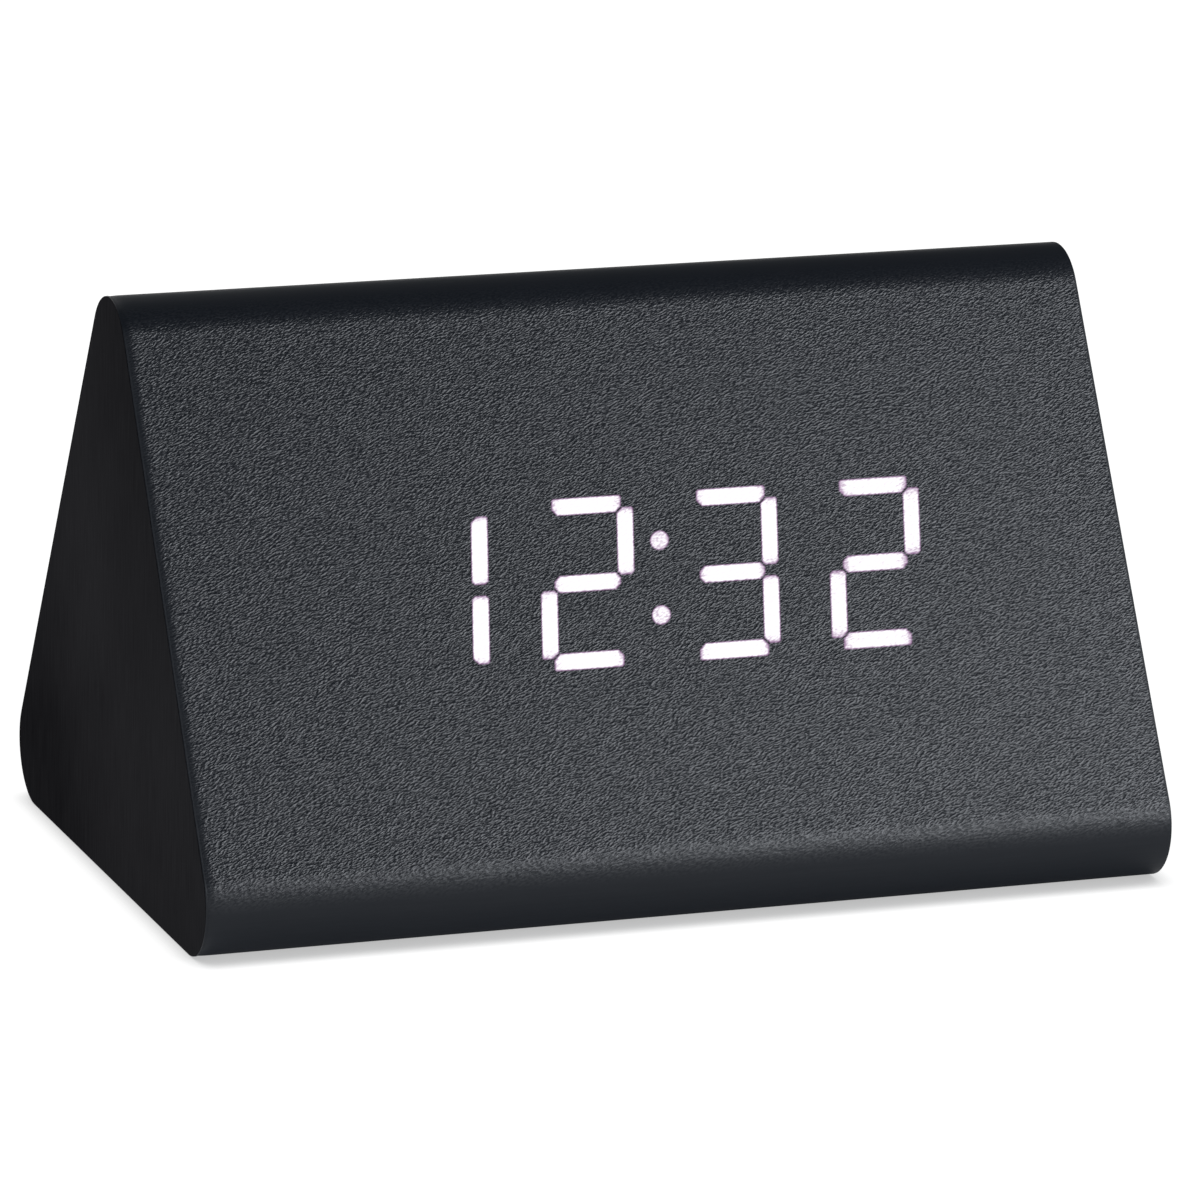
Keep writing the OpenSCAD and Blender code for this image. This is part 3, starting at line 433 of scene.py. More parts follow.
@dataclass(frozen=True)
class EmbossedFilm(Surface):
    """PVC wrapping film, embossed by a roller: satin black, with short strokes that catch the lamp.

    Attributes:
        name: Name of the material.
        tone: Colour of the crests.
        shade: Colour of the hollows and of the rolls' low lines, darker as painted shade.
        stroke_mm: Width of the roller's marks.
        stretch: Their length over their width.
        slant_deg: Turn of the marks on the front, negative where they rise to the right.
        relief_mm: Height of the marks.
        streak_mm: Spacing of the streaks where the film was pulled round the rolls.
        pull: How drawn out the streaks are; less is longer.
        cloud_mm: Size of the clouds in its gloss.
        roughness: Least and greatest roughness.
        dulling: Roughness added where the film is stretched round a roll.
        level: Specular level of the hollows and the crests; the rolls take the low end, as painted shade.
        lit: Whether the film has lamps behind it, and glows by the mesh's "glow" values.
        glow: Colour of the light in the middle of a bar, and where it thins out.
    """

    name: str = "embossed_pvc_film"
    tone: str = "#181c23"
    shade: str = "#11151b"
    stroke_mm: float = 0.185
    stretch: float = 2.5
    slant_deg: float = -24.0
    relief_mm: float = 0.043
    streak_mm: float = 0.22
    pull: float = 0.03
    cloud_mm: float = 9.0
    roughness: Point = (0.355, 0.385)
    dulling: float = 0.07
    level: Point = (0.22, 0.6)
    lit: bool = False
    glow: tuple[str, str] = ("#fffaff", "#d3a3d4")

    def shader(self, tree: bpy.types.NodeTree) -> bpy.types.Node:
        """Lay out the look: strokes on the flats, and faint streaks round the rolls.

        Args:
            tree: The material's empty node tree.

        Returns:
            The shader.
        """
        where = add_node(tree, "TexCoord").outputs["Object"]
        # The finest of the roller's marks would fall between the picture's pixels, so the strokes
        # are drawn as coarse as they need to show
        slanted = add_node(tree, "Mapping", {
            "vector_type": "TEXTURE", "Rotation": (0.0, math.radians(self.slant_deg), 0.0),
            "Scale": (self.stretch, 1.0, 1.0), "Vector": where,
        })
        strokes = add_node(tree, "TexNoise", {
            "Scale": per_mm(self.stroke_mm), "Detail": 0.5, "Roughness": 0.45, "Distortion": 0.15,
            "Vector": slanted,
        })
        grain = add_node(tree, "MapRange", {"From Min": 0.25, "From Max": 0.75, "Value": strokes})
        # Pulled smooth round the rolls, the film keeps only faint lines and is a little duller. The lines
        # are kept low, so the rolls are also painted darker and less shiny, as painted shade
        pulled = add_node(tree, "Mapping", {"Scale": (self.pull, 1.0, 1.0), "Vector": where})
        lines = add_node(tree, "TexNoise", {"Scale": per_mm(self.streak_mm), "Detail": 3.0, "Vector": pulled})
        streaks_and_shade = add_node(tree, "MapRange", {"To Min": 0.19, "To Max": 0.29, "Value": lines})
        roll = add_node(tree, "Attribute", {"attribute_name": "roll"}).outputs["Fac"]
        height = add_node(tree, "Mix", {"data_type": "FLOAT", 0: roll, 2: grain, 3: streaks_and_shade})
        # Painted shade: the colour darkens where the height is low, in the hollows and round the rolls
        tones = {6: linear(self.shade), 7: linear(self.tone)}
        colour = add_node(tree, "Mix", {"data_type": "RGBA", 0: height, **tones})
        cloud = add_node(tree, "TexNoise", {"Scale": per_mm(self.cloud_mm), "Detail": 3.0, "Vector": where})
        low, high = self.roughness
        gloss = add_node(tree, "MapRange", {
            "From Min": 0.3, "From Max": 0.7, "To Min": low, "To Max": high, "Value": cloud,
        })
        dulled = add_node(tree, "Math", {"operation": "MULTIPLY_ADD", 0: roll, 1: self.dulling, 2: gloss})
        bump = add_node(tree, "Bump", {"Distance": self.relief_mm * MM, "Height": height})
        # Painted shade in the shine: the hollows of the embossing, and the rolls, see less of the lamp
        # than its crests
        low, high = self.level
        level = add_node(tree, "MapRange", {
            "From Min": 0.2, "From Max": 0.8, "To Min": low, "To Max": high, "Value": height,
        })
        return add_node(tree, "BsdfPrincipled", {
            "Base Color": colour, "Roughness": dulled, "Specular IOR Level": level, "Normal": bump,
            **(self.lamp_light(tree, grain) if self.lit else {}),
        })

    def lamp_light(self, tree: bpy.types.NodeTree, grain: bpy.types.Node) -> dict[str, bpy.types.Node]:
        """Let lamp light through the film: white in the middle of a bar and lilac where it thins out.

        Args:
            tree: The material's node tree.
            grain: Node that gives the embossed relief, which mottles the light.

        Returns:
            Nodes for the shader's emission inputs.
        """
        glow = add_node(tree, "Attribute", {"attribute_name": "glow"}).outputs["Fac"]
        mottle = add_node(tree, "MapRange", {"To Min": 0.76, "To Max": 1.1, "Value": grain})
        light = add_node(tree, "Math", {"operation": "MULTIPLY", "use_clamp": True, 0: glow, 1: mottle})
        bright = add_node(tree, "MapRange", {"From Min": 0.5, "From Max": 0.97, "Value": light})
        middle, edge = (linear(code) for code in self.glow)
        tint = add_node(tree, "Mix", {"data_type": "RGBA", 0: bright, 6: edge, 7: middle})
        return {"Emission Color": tint, "Emission Strength": light}


FILM = EmbossedFilm()
LIT_FILM = EmbossedFilm(name="embossed_pvc_film_lit", lit=True)
# Film over the ends is pulled flat and brushed up and down, so it is matt with faint upright streaks
END_FILM = Finish(
    "brushed_pvc_film", "#262628", "#0e0e10", (0.7, 0.85), Grain.DRAWN_Z, 0.3, 0.012, 70.0, level=0.0
)
# Sawn fibreboard: dusty, flecked with darker fibres, no shine
FIBREBOARD = Finish(
    "sawn_fibreboard", "#a88f6c", "#8a7354", (0.85, 0.95), Grain.FIBRES, 0.22, 0.03, 0.9, level=0.2
)
# ABS from a spark-eroded mould: even fine grit that breaks up the shine
SPARKED_ABS = Finish(
    "spark_textured_abs", "#2d2e31", "#232427", (0.48, 0.62), Grain.MOULDED, 0.22, 0.008, 8.0
)
# ABS buttons: finer grit, worn smoother by fingers, so they shine softly
BUTTON_ABS = Finish("satin_abs", "#2b2c2f", "#212225", (0.3, 0.42), Grain.MOULDED, 0.18, 0.003, 3.0)
# Moulded white polystyrene: slightly warm, matt, with faint flow marks
WHITE_STYRENE = Finish(
    "white_polystyrene", "#e9e8e4", "#dcdad4", (0.5, 0.65), Grain.MOULDED, 0.4, 0.004, 10.0
)
# Frosted acrylic: milky, lets light through
FROSTED = Finish("frosted_acrylic", "#eeeee8", "#e2e2dc", (0.6, 0.75), clear=0.5)
# Clear yellow-tinted resin over a lamp chip: glossy with a phosphor tint
LAMP_RESIN = Finish("cast_lamp_resin", "#f3e9b8", "#e6d58a", (0.1, 0.2), Grain.MOULDED, 0.3, 0.001, 1.0)
# Glass-epoxy board under solder mask: glossy green with the weave and copper faintly showing
SOLDER_MASK = Finish(
    "solder_mask", "#1d6a42", "#155233", (0.22, 0.36), Grain.FIBRES, 0.6, 0.01, 2.5, coat=0.3
)
# Nylon 6: off-white, waxy
NYLON = Finish("moulded_nylon", "#dcd8c8", "#cfc9b6", (0.4, 0.5), Grain.MOULDED, 0.4, 0.003, 4.0)
# Zinc-plated steel: cool grey, fine turning marks, dulled in places
ZINC = Finish("zinc_plated_steel", "#a9adb3", "#8d9198", (0.28, 0.42), Grain.MOULDED, 0.25, 0.002, 1.5, 1.0)
# Nickel-plated spring steel: warm grey, rolled in one direction
NICKEL = Finish("nickel_plated_steel", "#c4c1b8", "#aaa69c", (0.2, 0.34), Grain.DRAWN_Z, 0.2, 0.002, 2.0, 1.0)
# Gold flash over nickel: thin, bright, a little pale
GOLD = Finish("gold_flash", "#d9b25a", "#c29a45", (0.18, 0.28), Grain.DRAWN_Z, 0.1, 0.001, 0.8, 1.0)
# Moulded epoxy packages: dead black with a fine bloom
EPOXY = Finish("moulded_epoxy", "#232325", "#1a1a1c", (0.55, 0.7), Grain.MOULDED, 0.15, 0.004, 2.0)
# Epoxy dipped over a glass bead: dark brown, glossy
BEAD = Finish(
    "dipped_epoxy_bead", "#3a2a22", "#2a1d18", (0.12, 0.22), Grain.MOULDED, 0.6, 0.002, 1.0, coat=0.5
)
# Extruded PVC over the wires: satin, faint draw lines
RED_PVC = Finish("red_wire_pvc", "#a8231f", "#8c1a18", (0.35, 0.48), Grain.DRAWN_Z, 0.15, 0.002, 2.0)
BLACK_PVC = Finish("black_wire_pvc", "#242528", "#1b1c1e", (0.35, 0.48), Grain.DRAWN_Z, 0.15, 0.002, 2.0)
RIBBON_PVC = Finish("ribbon_pvc", "#8d9197", "#7b8087", (0.4, 0.55), Grain.DRAWN_Z, 0.2, 0.003, 3.0)
# Shrink sleeve on a battery: printed film, glossy, with the can showing faintly under it
SLEEVE, BAND = (
    Finish(name, tone, shade, (0.22, 0.34), Grain.DRAWN_X, 0.3, 0.002, 5.0, coat=0.3)
    for name, tone, shade in (
        ("printed_shrink_sleeve", "#31536d", "#284559"), ("printed_sleeve_band", "#b8bcc0", "#a4a8ad"),
    )
)


def place(
    obj: bpy.types.Object, body: str, nodes: Sequence[str], finishes: Sequence[Surface]
) -> None:
    """Put a finished piece on its body in place of CAD nodes.

    Args:
        obj: The piece.
        body: Body that it moves with.
        nodes: CAD nodes that it stands for.
        finishes: Its finishes, in the order of the piece's material numbers.
    """
    for finish in finishes:
        obj.data.materials.append(finish.material())
    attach(obj, body)
    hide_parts(*nodes)
    log.info("built %s for %s", obj.name, ", ".join(nodes))


def dress(finish: Finish, *nodes: str) -> None:
    """Give CAD nodes that keep their shape a finish.

    Args:
        finish: The finish.
        nodes: Names of the nodes.
    """
    for node in nodes:
        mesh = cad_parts[node].data
        mesh.materials.clear()
        mesh.materials.append(finish.material())
        log.info("dressed %s in %s", node, finish.name)


# The clock


@dataclass(frozen=True)
class Wedge:
    """Outer form of the case.

    Attributes:
        width: Length of the prism, end to end.
        depth: Depth over the rolled edges.
        height: Height over the top roll.
        roll_r: Radius of the three rolls.
        film_t: Thickness of the film.
        seam: How far the flats lie inside the rolls.
        base_ends: Angles at which the front and rear rolls meet the base, in degrees.
        stops: Places of extra points on a flat, as distances from its ends.
    """

    width: float = 120.0
    depth: float = 80.0
    height: float = 70.5
    roll_r: float = 7.0
    film_t: float = 0.3
    seam: float = 0.002
    base_ends: Point = (270.0, -90.0)
    stops: tuple[float, ...] = (0.2, 1.0, 2.5, 5.0)

    @property
    def run(self) -> float:
        """Half the distance between the lower rolls' middles."""
        return self.depth / 2 - self.roll_r

    @property
    def tilt(self) -> float:
        """Slope of the front, in radians from the base."""
        return math.atan2(self.height - 2 * self.roll_r, self.run)

    def front(self, x: float = 0.0, y: float = 0.0, out: float = 0.0) -> Matrix:
        """Find a place on the sloping front.

        Args:
            x: Distance across, from the middle.
            y: Distance up the slope, from its middle.
            out: Distance straight out of the face.

        Returns:
            Matrix with those three axes.
        """
        middle = Matrix.Translation((0, -self.run / 2, self.height / 2))
        face = Matrix.Translation((x, y, self.roll_r - self.seam + out))
        return middle @ Matrix.Rotation(self.tilt, 4, "X") @ face

    def back(self, x: float = 0.0, y: float = 0.0, out: float = 0.0) -> Matrix:
        """Find a place on the sloping back, seen from behind, in the way of the front's."""
        return Matrix.Rotation(math.pi, 4, "Z") @ self.front(x, y, out)

    def rolls(self) -> list[tuple[float, float, float, float]]:
        """List the front, top and rear rolls.

        Returns:
            Y and Z of each one's middle, and its first and last angle in degrees.
        """
        up = 90 - math.degrees(self.tilt)
        return [
            (-self.run, self.roll_r, self.base_ends[0], 180.0 - up),
            (0.0, self.height - self.roll_r, 180.0 - up, up),
            (self.run, self.roll_r, up, self.base_ends[1]),
        ]

    def path(self, inset: float, step: float = 2.0) -> list[Point]:
        """Section of the film from the front edge of the base, over the top, to the rear edge.

        Args:
            inset: Distance inside the outer face.
            step: Degrees between points on the rolls.

        Returns:
            Y and Z of each point.
        """
        points: list[Point] = []
        for y, z, first, last in self.rolls():
            around = arc(self.roll_r - inset, first, last, round(abs(last - first) / step))
            points += [(y + u, z + v) for u, v in around]
        return self.with_flats(points)

    def with_flats(self, points: list[Point]) -> list[Point]:
        """Add points on the long flats, close to the rolls and at the middle.

        Args:
            points: Points of the rolls.

        Returns:
            All the points.
        """
        shortest = 10
        out = points[:1]
        for a, b in zip(points, points[1:]):
            length = math.dist(a, b)
            if length > shortest:
                along = [*self.stops, length / 2, *(length - s for s in reversed(self.stops))]
                out += [(a[0] + (b[0] - a[0]) * s / length, a[1] + (b[1] - a[1]) * s / length) for s in along]
            out.append(b)
        return out


@dataclass(frozen=True)
class Layout:
    """Places that several sub-assemblies share.

    Attributes:
        display: Middle of the display on the front.
        board_in: Depth of the circuit boards' inner faces.
        row_y: Place of the row of holes and buttons up the back's slope.
        button_xs: Sideways places of the buttons, seen from behind.
    """

    display: Point = (0.8, -0.8)
    board_in: float = 11.4
    row_y: float = -9.0
    button_xs: Triple = (-10.0, 3.0, 16.0)


WEDGE = Wedge()
LAYOUT = Layout()


@dataclass
class WrappedCase:
    """Fibreboard wedge with its film: one sheet round front, top and back, and one on each end.

    Attributes:
        inlet: Width, height and corner radius of the power inlet.
        inlet_x: Sideways place of the inlet, seen from behind.
        sensor_x: Sideways place of the sensor's hole.
        sensor_r: Radius of the sensor's hole.
        button_hole_r: Radius of the buttons' holes.
        rim: Width of the softened edge of the end films.
        rim_curve: Shares of that width in from the end's face, and in from its outline.
        blend_mm: Distance over which the strokes give way to streaks and painted shade at the rolls.
        fold: Width of the sheet's pressed edge at the left, and how smooth it is, with the rolls' painted
            shade.
        margin: Places in from the left end of the sheet, and how far it is pressed down there.
        skin: How far the sheets' faces lie inside the drawn form.
    """

    inlet: Triple = (12.5, 9.0, 2.0)
    inlet_x: float = -28.0
    sensor_x: float = 28.0
    sensor_r: float = 1.5
    button_hole_r: float = 3.15
    rim: float = 0.14
    rim_curve: tuple[Point, ...] = ((1.0, 0.0), (0.4, 0.1), (0.1, 0.4), (0.0, 1.0))
    blend_mm: float = 4.4
    fold: Point = (0.4, 0.8)
    margin: tuple[Point, ...] = ((0.0, 0.1), (0.3, 0.055), (0.8, 0.016), (1.5, 0.0))
    skin: float = 0.001

    def build(self) -> None:
        """Build the film and dress the board under it."""
        self.build_wrap()
        for side, node in ((-1, "left_end_film"), (1, "right_end_film")):
            self.build_end(side, node)
        dress(FIBREBOARD, "case_shell", "left_end_panel", "right_end_panel")

    def build_wrap(self) -> None:
        """Build the sheet round front, top and back, with its holes at the back."""
        inner = WEDGE.path(WEDGE.film_t)[::-1]
        half = WEDGE.width / 2 - WEDGE.film_t
        stations = [(x - half, drop) for x, drop in self.margin] + [(half, 0.0)]
        rings = [[(x, y, z) for y, z in WEDGE.path(self.skin + drop) + inner] for x, drop in stations]
        verts, faces = lofted(rings, capped=False)
        # The ends follow the thin section as a strip, one face for each pair of points
        around = len(rings[0])
        for first, order in ((0, 1), (len(verts) - around, -1)):
            for k in range(len(inner) - 1):
                ring = (first + k, first + around - 1 - k, first + around - 2 - k, first + k + 1)
                faces.append(ring[::order])
        film = cut_away(piece("film_wrap", verts, faces), self.hole_cutters())
        self.mark_rolls(film)
        place(film, "case", ["wrap_film"], [FILM])

    def hole_cutters(self) -> list[bpy.types.Object]:
        """Make the cutters for the holes through the back.

        Returns:
            Meshes in the shape of the holes.
        """
        reach = 2.0
        outlines = [(self.inlet_x, rounded_box(*self.inlet)), (self.sensor_x, disc(self.sensor_r, 48))]
        outlines += [(x, disc(self.button_hole_r, 96)) for x in LAYOUT.button_xs]
        cutters = []
        for x, outline in outlines:
            rings = [laid(outline, WEDGE.back(x, LAYOUT.row_y, out)) for out in (-reach, reach)]
            cutters.append(piece("cutter", *lofted(rings)))
        return cutters

    def mark_rolls(self, film: bpy.types.Object) -> None:
        """Store how far each point lies on a roll, which is painted darker: 0 on the flats, 1 well round a
        roll.

        Args:
            film: The film's piece.
        """
        near = 0.05
        fold_w, fold_share = self.fold
        fold_x = WEDGE.film_t - WEDGE.width / 2 + fold_w
        roll = film.data.attributes.new("roll", "FLOAT", "POINT")
        for vert, item in zip(film.data.vertices, roll.data):
            y, z = vert.co.y * PER_M, vert.co.z * PER_M
            best = fold_share if vert.co.x * PER_M < fold_x else 0.0
            for cy, cz, first, last in WEDGE.rolls():
                angle = math.degrees(math.atan2(z - cz, y - cy))
                low, high = min(first, last), max(first, last)
                angle += 360 if angle < low - 1 else 0
                if math.hypot(y - cy, z - cz) < WEDGE.roll_r + near and low <= angle <= high:
                    past = min(abs(angle - end) for end in (first, last) if end not in WEDGE.base_ends)
                    best = max(best, min(1.0, math.radians(past) * WEDGE.roll_r / self.blend_mm))
            item.value = best

    def build_end(self, side: int, node: str) -> None:
        """Build the film over one end, with a softened rim.

        Args:
            side: -1 for the left end and 1 for the right.
            node: CAD node of the film.
        """
        outer = WEDGE.width / 2
        stations = [(outer - WEDGE.film_t, 0.0)]
        stations += [(outer - along * self.rim, inset * self.rim) for along, inset in self.rim_curve]
        rings = []
        for x, inset in stations:
            rings.append([(side * x, y, z) for y, z in WEDGE.path(self.skin + inset)[::side]])
        end = piece(node.replace("_film", "_cover"), *lofted(rings), sharp_deg=60)
        # The whole end counts as rolled, so its film-covered rim takes the rolls' painted shade
        smooth_and_shaded = end.data.attributes.new("roll", "FLOAT", "POINT")
        smooth_and_shaded.data.foreach_set("value", [1.0] * len(end.data.vertices))
        # The sheet's edge folds over the rim, so the rim shines like the front
        steepest = 0.35
        for face in end.data.polygons:
            face.material_index = int(abs(face.normal.x) < steepest)
        place(end, "case", [node], [END_FILM, FILM])


@dataclass
class Display:
    """Numerals that shine through the film, and the light box behind them.

    Attributes:
        shown: Lit bars of each digit.
        lights: Light of each digit; the right-hand one is the dimmest.
        pitch: Distance between digits.
        digit_h: Height between the outer bars' middles.
        digit_w: Width between the uprights' middles.
        bar_w: Width of a bar.
        lengths: Length of the outer, middle and upright bars.
        upright_y: Height of an upright's middle.
        lean_deg: Lean of the digits.
        cuts: Size of the corners cut off a bar: inner, middle, slight and outer ones.
        fall: Light at a bar's middle, its fall towards the ends, and how steep that is.
        dot_d: Diameter of the colon's dots.
        dot_y: Height of the colon's dots.
        dot_light: Light of the dots.
        rings: Light at distances outside a lamp's edge, or inside it if negative.
        dot_rings: More rings inside a dot.
        lifts: Height over the film of the level bars and dots, and of the uprights.
        patches: Lit patches so far.
        glows: Light at each of their points.
    """

    shown: tuple[str, ...] = ("bc", "abdeg", "abcdg", "abdeg")
    lights: tuple[float, ...] = (1.05, 1.0, 1.0, 0.9)
    pitch: float = 18.1
    digit_h: float = 18.8
    digit_w: float = 9.6
    bar_w: float = 2.0
    lengths: Triple = (8.6, 8.2, 8.2)
    upright_y: float = 4.8
    lean_deg: float = 8.0
    cuts: dict[str, float] = field(default_factory=lambda: {"i": 0.7, "m": 0.62, "s": 0.36, "o": 0.2})
    fall: Triple = (1.36, 0.62, 5)
    dot_d: float = 2.3
    dot_y: float = 4.55
    dot_light: float = 0.97
    rings: tuple[Point, ...] = ((0.11, 0.0), (0.03, 0.22), (-0.05, 0.6), (-0.13, 0.88), (-0.26, 1.0))
    dot_rings: tuple[Point, ...] = ((-0.5, 1.0), (-0.85, 1.0))
    lifts: Point = (0.012, 0.0168)
    patches: Gathered = field(default_factory=Gathered)
    glows: list[float] = field(default_factory=list)

    def build(self) -> None:
        """Build the lit patches and dress the pieces behind them."""
        middle = (len(self.shown) - 1) / 2
        for k, (bars, power) in enumerate(zip(self.shown, self.lights)):
            for bar in bars:
                self.add_bar((k - middle) * self.pitch, bar, power)
        for y in (-self.dot_y, self.dot_y):
            self.add_dot(y)
        lit = piece("lit_numerals", self.patches.verts, self.patches.faces)
        glow = lit.data.attributes.new("glow", "FLOAT", "POINT")
        glow.data.foreach_set("value", self.glows)
        place(lit, "case", ["lit_segments"], [LIT_FILM])
        dress(FROSTED, "segment_diffusers")
        dress(WHITE_STYRENE, "light_box")
        dress(LAMP_RESIN, "segment_leds")

    def add_rings(self, rings: list[list[Point]], shares: list[list[float]], lift: float) -> int:
        """Add rings of film round one lamp, from the outermost inwards.

        Args:
            rings: Points of each ring on the display, before the lean.
            shares: Light at each point.
            lift: Height over the film.

        Returns:
            Number of the innermost ring's first point.
        """
        face = WEDGE.front(*LAYOUT.display, lift)
        slant = math.tan(math.radians(self.lean_deg))
        leant = [laid([(x + y * slant, y) for x, y in ring], face) for ring in rings]
        self.glows += [light for share in shares for light in share]
        return self.patches.add(*lofted(leant, capped=False)) + (len(rings) - 1) * len(rings[0])

    def corners(self, length: float, cuts: str, grow: float) -> list[Point]:
        """Corners of a bar, from the lower left round to the upper left.

        Args:
            length: Length of the bar.
            cuts: Kinds of its four cut corners, in that order.
            grow: Distance by which its edges are moved outwards.

        Returns:
            Eight points.
        """
        x, y = length / 2, self.bar_w / 2
        c0, c1, c2, c3 = (self.cuts[c] for c in cuts)
        raw = [(-x + c0, -y), (x - c1, -y), (x, -y + c1), (x, y - c2)]
        raw += [(x - c2, y), (-x + c3, y), (-x, y - c3), (-x, -y + c0)]
        out = []
        for (ax, ay), (px, py), (bx, by) in zip([raw[-1], *raw], raw, [*raw[1:], raw[0]]):
            before, after = math.dist((ax, ay), (px, py)), math.dist((px, py), (bx, by))
            n1 = ((py - ay) / before, (ax - px) / before)
            n2 = ((by - py) / after, (px - bx) / after)
            push = grow / (1 + n1[0] * n2[0] + n1[1] * n2[1])
            out.append((px + push * (n1[0] + n2[0]), py + push * (n1[1] + n2[1])))
        return out

    def add_bar(self, digit_x: float, name: str, power: float) -> None:
        """Add one bar of a digit: bright in the middle, and less so at its ends, far from the lamp.

        Args:
            digit_x: Sideways place of the digit.
            name: Letter of the bar, from a at the top round to g in the middle.
            power: Light of the digit.
        """
        x, y, top = self.digit_w / 2, self.upright_y, self.digit_h / 2
        outer, centre, upright = self.lengths
        (mx, my), turn, length, cuts = {
            "a": ((0, top), 0, outer, "iioo"), "d": ((0, -top), 180, outer, "iioo"),
            "g": ((0, 0), 0, centre, "mmmm"), "b": ((x, y), 90, upright, "sois"),
            "c": ((x, -y), 90, upright, "ossi"), "e": ((-x, -y), -90, upright, "sois"),
            "f": ((-x, y), -90, upright, "ossi"),
        }[name]
        sin, cos = math.sin(math.radians(turn)), math.cos(math.radians(turn))
        spans = 10
        stops = [0.5 - 0.5 * math.cos(math.pi * k / spans) for k in range(spans + 1)]
        most, drop, steepness = self.fall
        rings, shares = [], []
        for grow, light in self.rings:
            c = self.corners(length, cuts, grow)
            low = [(c[0][0] + (c[1][0] - c[0][0]) * s, c[0][1]) for s in stops]
            high = [(c[4][0] + (c[5][0] - c[4][0]) * s, c[4][1]) for s in stops]
            ring = low + [c[2], c[3]] + high + [c[6], c[7]]
            ends = [min(1.0, 2 * abs(u) / length) for u, _ in ring]
            shares.append([power * light * (most - drop * end ** steepness) for end in ends])
            rings.append([(digit_x + mx + u * cos - v * sin, my + u * sin + v * cos) for u, v in ring])
        level, raised = self.lifts
        first = self.add_rings(rings, shares, level if name in "adg" else raised)
        n = len(stops)
        fill = [(k, k + 1, 2 * n - k, 2 * n + 1 - k) for k in range(spans)]
        fill += [(n - 1, n, n + 1, n + 2), (2 * n + 1, 2 * n + 2, 2 * n + 3, 0)]
        self.patches.faces += [tuple(first + k for k in face) for face in fill]

    def add_dot(self, y: float) -> None:
        """Add one dot of the colon, which is dimmer than the bars.

        Args:
            y: Height of the dot.
        """
        steps = 40
        levels = self.rings + self.dot_rings
        rings = [[(u, v + y) for u, v in disc(self.dot_d / 2 + grow, steps)] for grow, _ in levels]
        shares = [[self.dot_light * light] * steps for _, light in levels]
        first = self.add_rings(rings, shares, self.lifts[0])
        self.patches.faces.append(tuple(range(first, first + steps)))


@dataclass
class ScrewSet:
    """Pan-head screws with a cross recess and a cut thread.

    Attributes:
        node: CAD node of the screws.
        seats: Matrix of each screw's seat, with the shank along local Z.
        length: Length of the shank.
        shank_d: Diameter of the shank.
        head_d: Diameter of the head.
        head_t: Thickness of the head.
        pitch: Pitch of the thread.
        root: Radius at the thread's root, as a share of its crest's.
        dome: Shares of the head's radius and thickness, from its seat to its rim.
        crown: The same on its top, from the edge to the middle.
        recess: Share of the radius that the recess reaches, half the width of its arms, and its depth
            as a share of the thickness.
    """

    node: str
    seats: list[Matrix]
    length: float
    shank_d: float = 2.0
    head_d: float = 3.8
    head_t: float = 1.2
    pitch: float = 0.8
    root: float = 0.8
    dome: tuple[Point, ...] = ((0.55, 0), (0.97, 0), (1, 0.05), (1, 0.35), (0.96, 0.62), (0.86, 0.82))
    crown: tuple[Point, ...] = ((0.72, 0.93), (0.6, 0.98), (0.45, 1), (0.3, 1), (0.15, 1), (0.02, 1))
    recess: Triple = (0.62, 0.36, 0.62)

    def build(self) -> None:
        """Build the screws as one piece."""
        parts = Gathered()
        for seat in self.seats:
            parts.add(*self.head(seat))
            parts.add(*self.shank(seat))
        screws = piece(self.node.replace("_screws", "_fixings"), parts.verts, parts.faces)
        place(screws, "case", [self.node], [ZINC])

    def head(self, seat: Matrix) -> Skin:
        """Shape a domed head whose top falls into a four-armed recess.

        Args:
            seat: Matrix of the screw's seat.

        Returns:
            Points and faces.
        """
        steps, r, t = 64, self.head_d / 2, self.head_t
        reach, arm, depth = self.recess
        rings = [laid(disc(share * r, steps), seat, -rise * t) for share, rise in self.dome]
        for share, rise in self.crown:
            sunk = depth * (1 - share) ** 0.5 if share < reach else 0.0
            rings.append([
                seat @ Vector((x, y, (sunk if min(abs(x), abs(y)) < arm else 0.0) * t - rise * t))
                for x, y in disc(share * r, steps)
            ])
        return lofted(rings)

    def shank(self, seat: Matrix) -> Skin:
        """Shape a shank with a helical thread and a point.

        Args:
            seat: Matrix of the screw's seat.

        Returns:
            Points and faces.
        """
        steps, per_turn, r = 16, 12, self.shank_d / 2
        point_l, blunt = 1.2 * r, 0.12
        rows = round(self.length / self.pitch * per_turn)
        rings = []
        for i in range(rows + 1):
            z = self.length * i / rows
            point = min(1.0, (self.length - z) / point_l + blunt)
            ring = []
            for k, (x, y) in enumerate(disc(r * point, steps)):
                crest = max(0.0, 1 - abs((z / self.pitch - k / steps) % 1.0 - 0.5) * 4)
                share = self.root + (1 - self.root) * crest
                ring.append(seat @ Vector((x * share, y * share, z)))
            rings.append(ring)
        return lofted(rings)


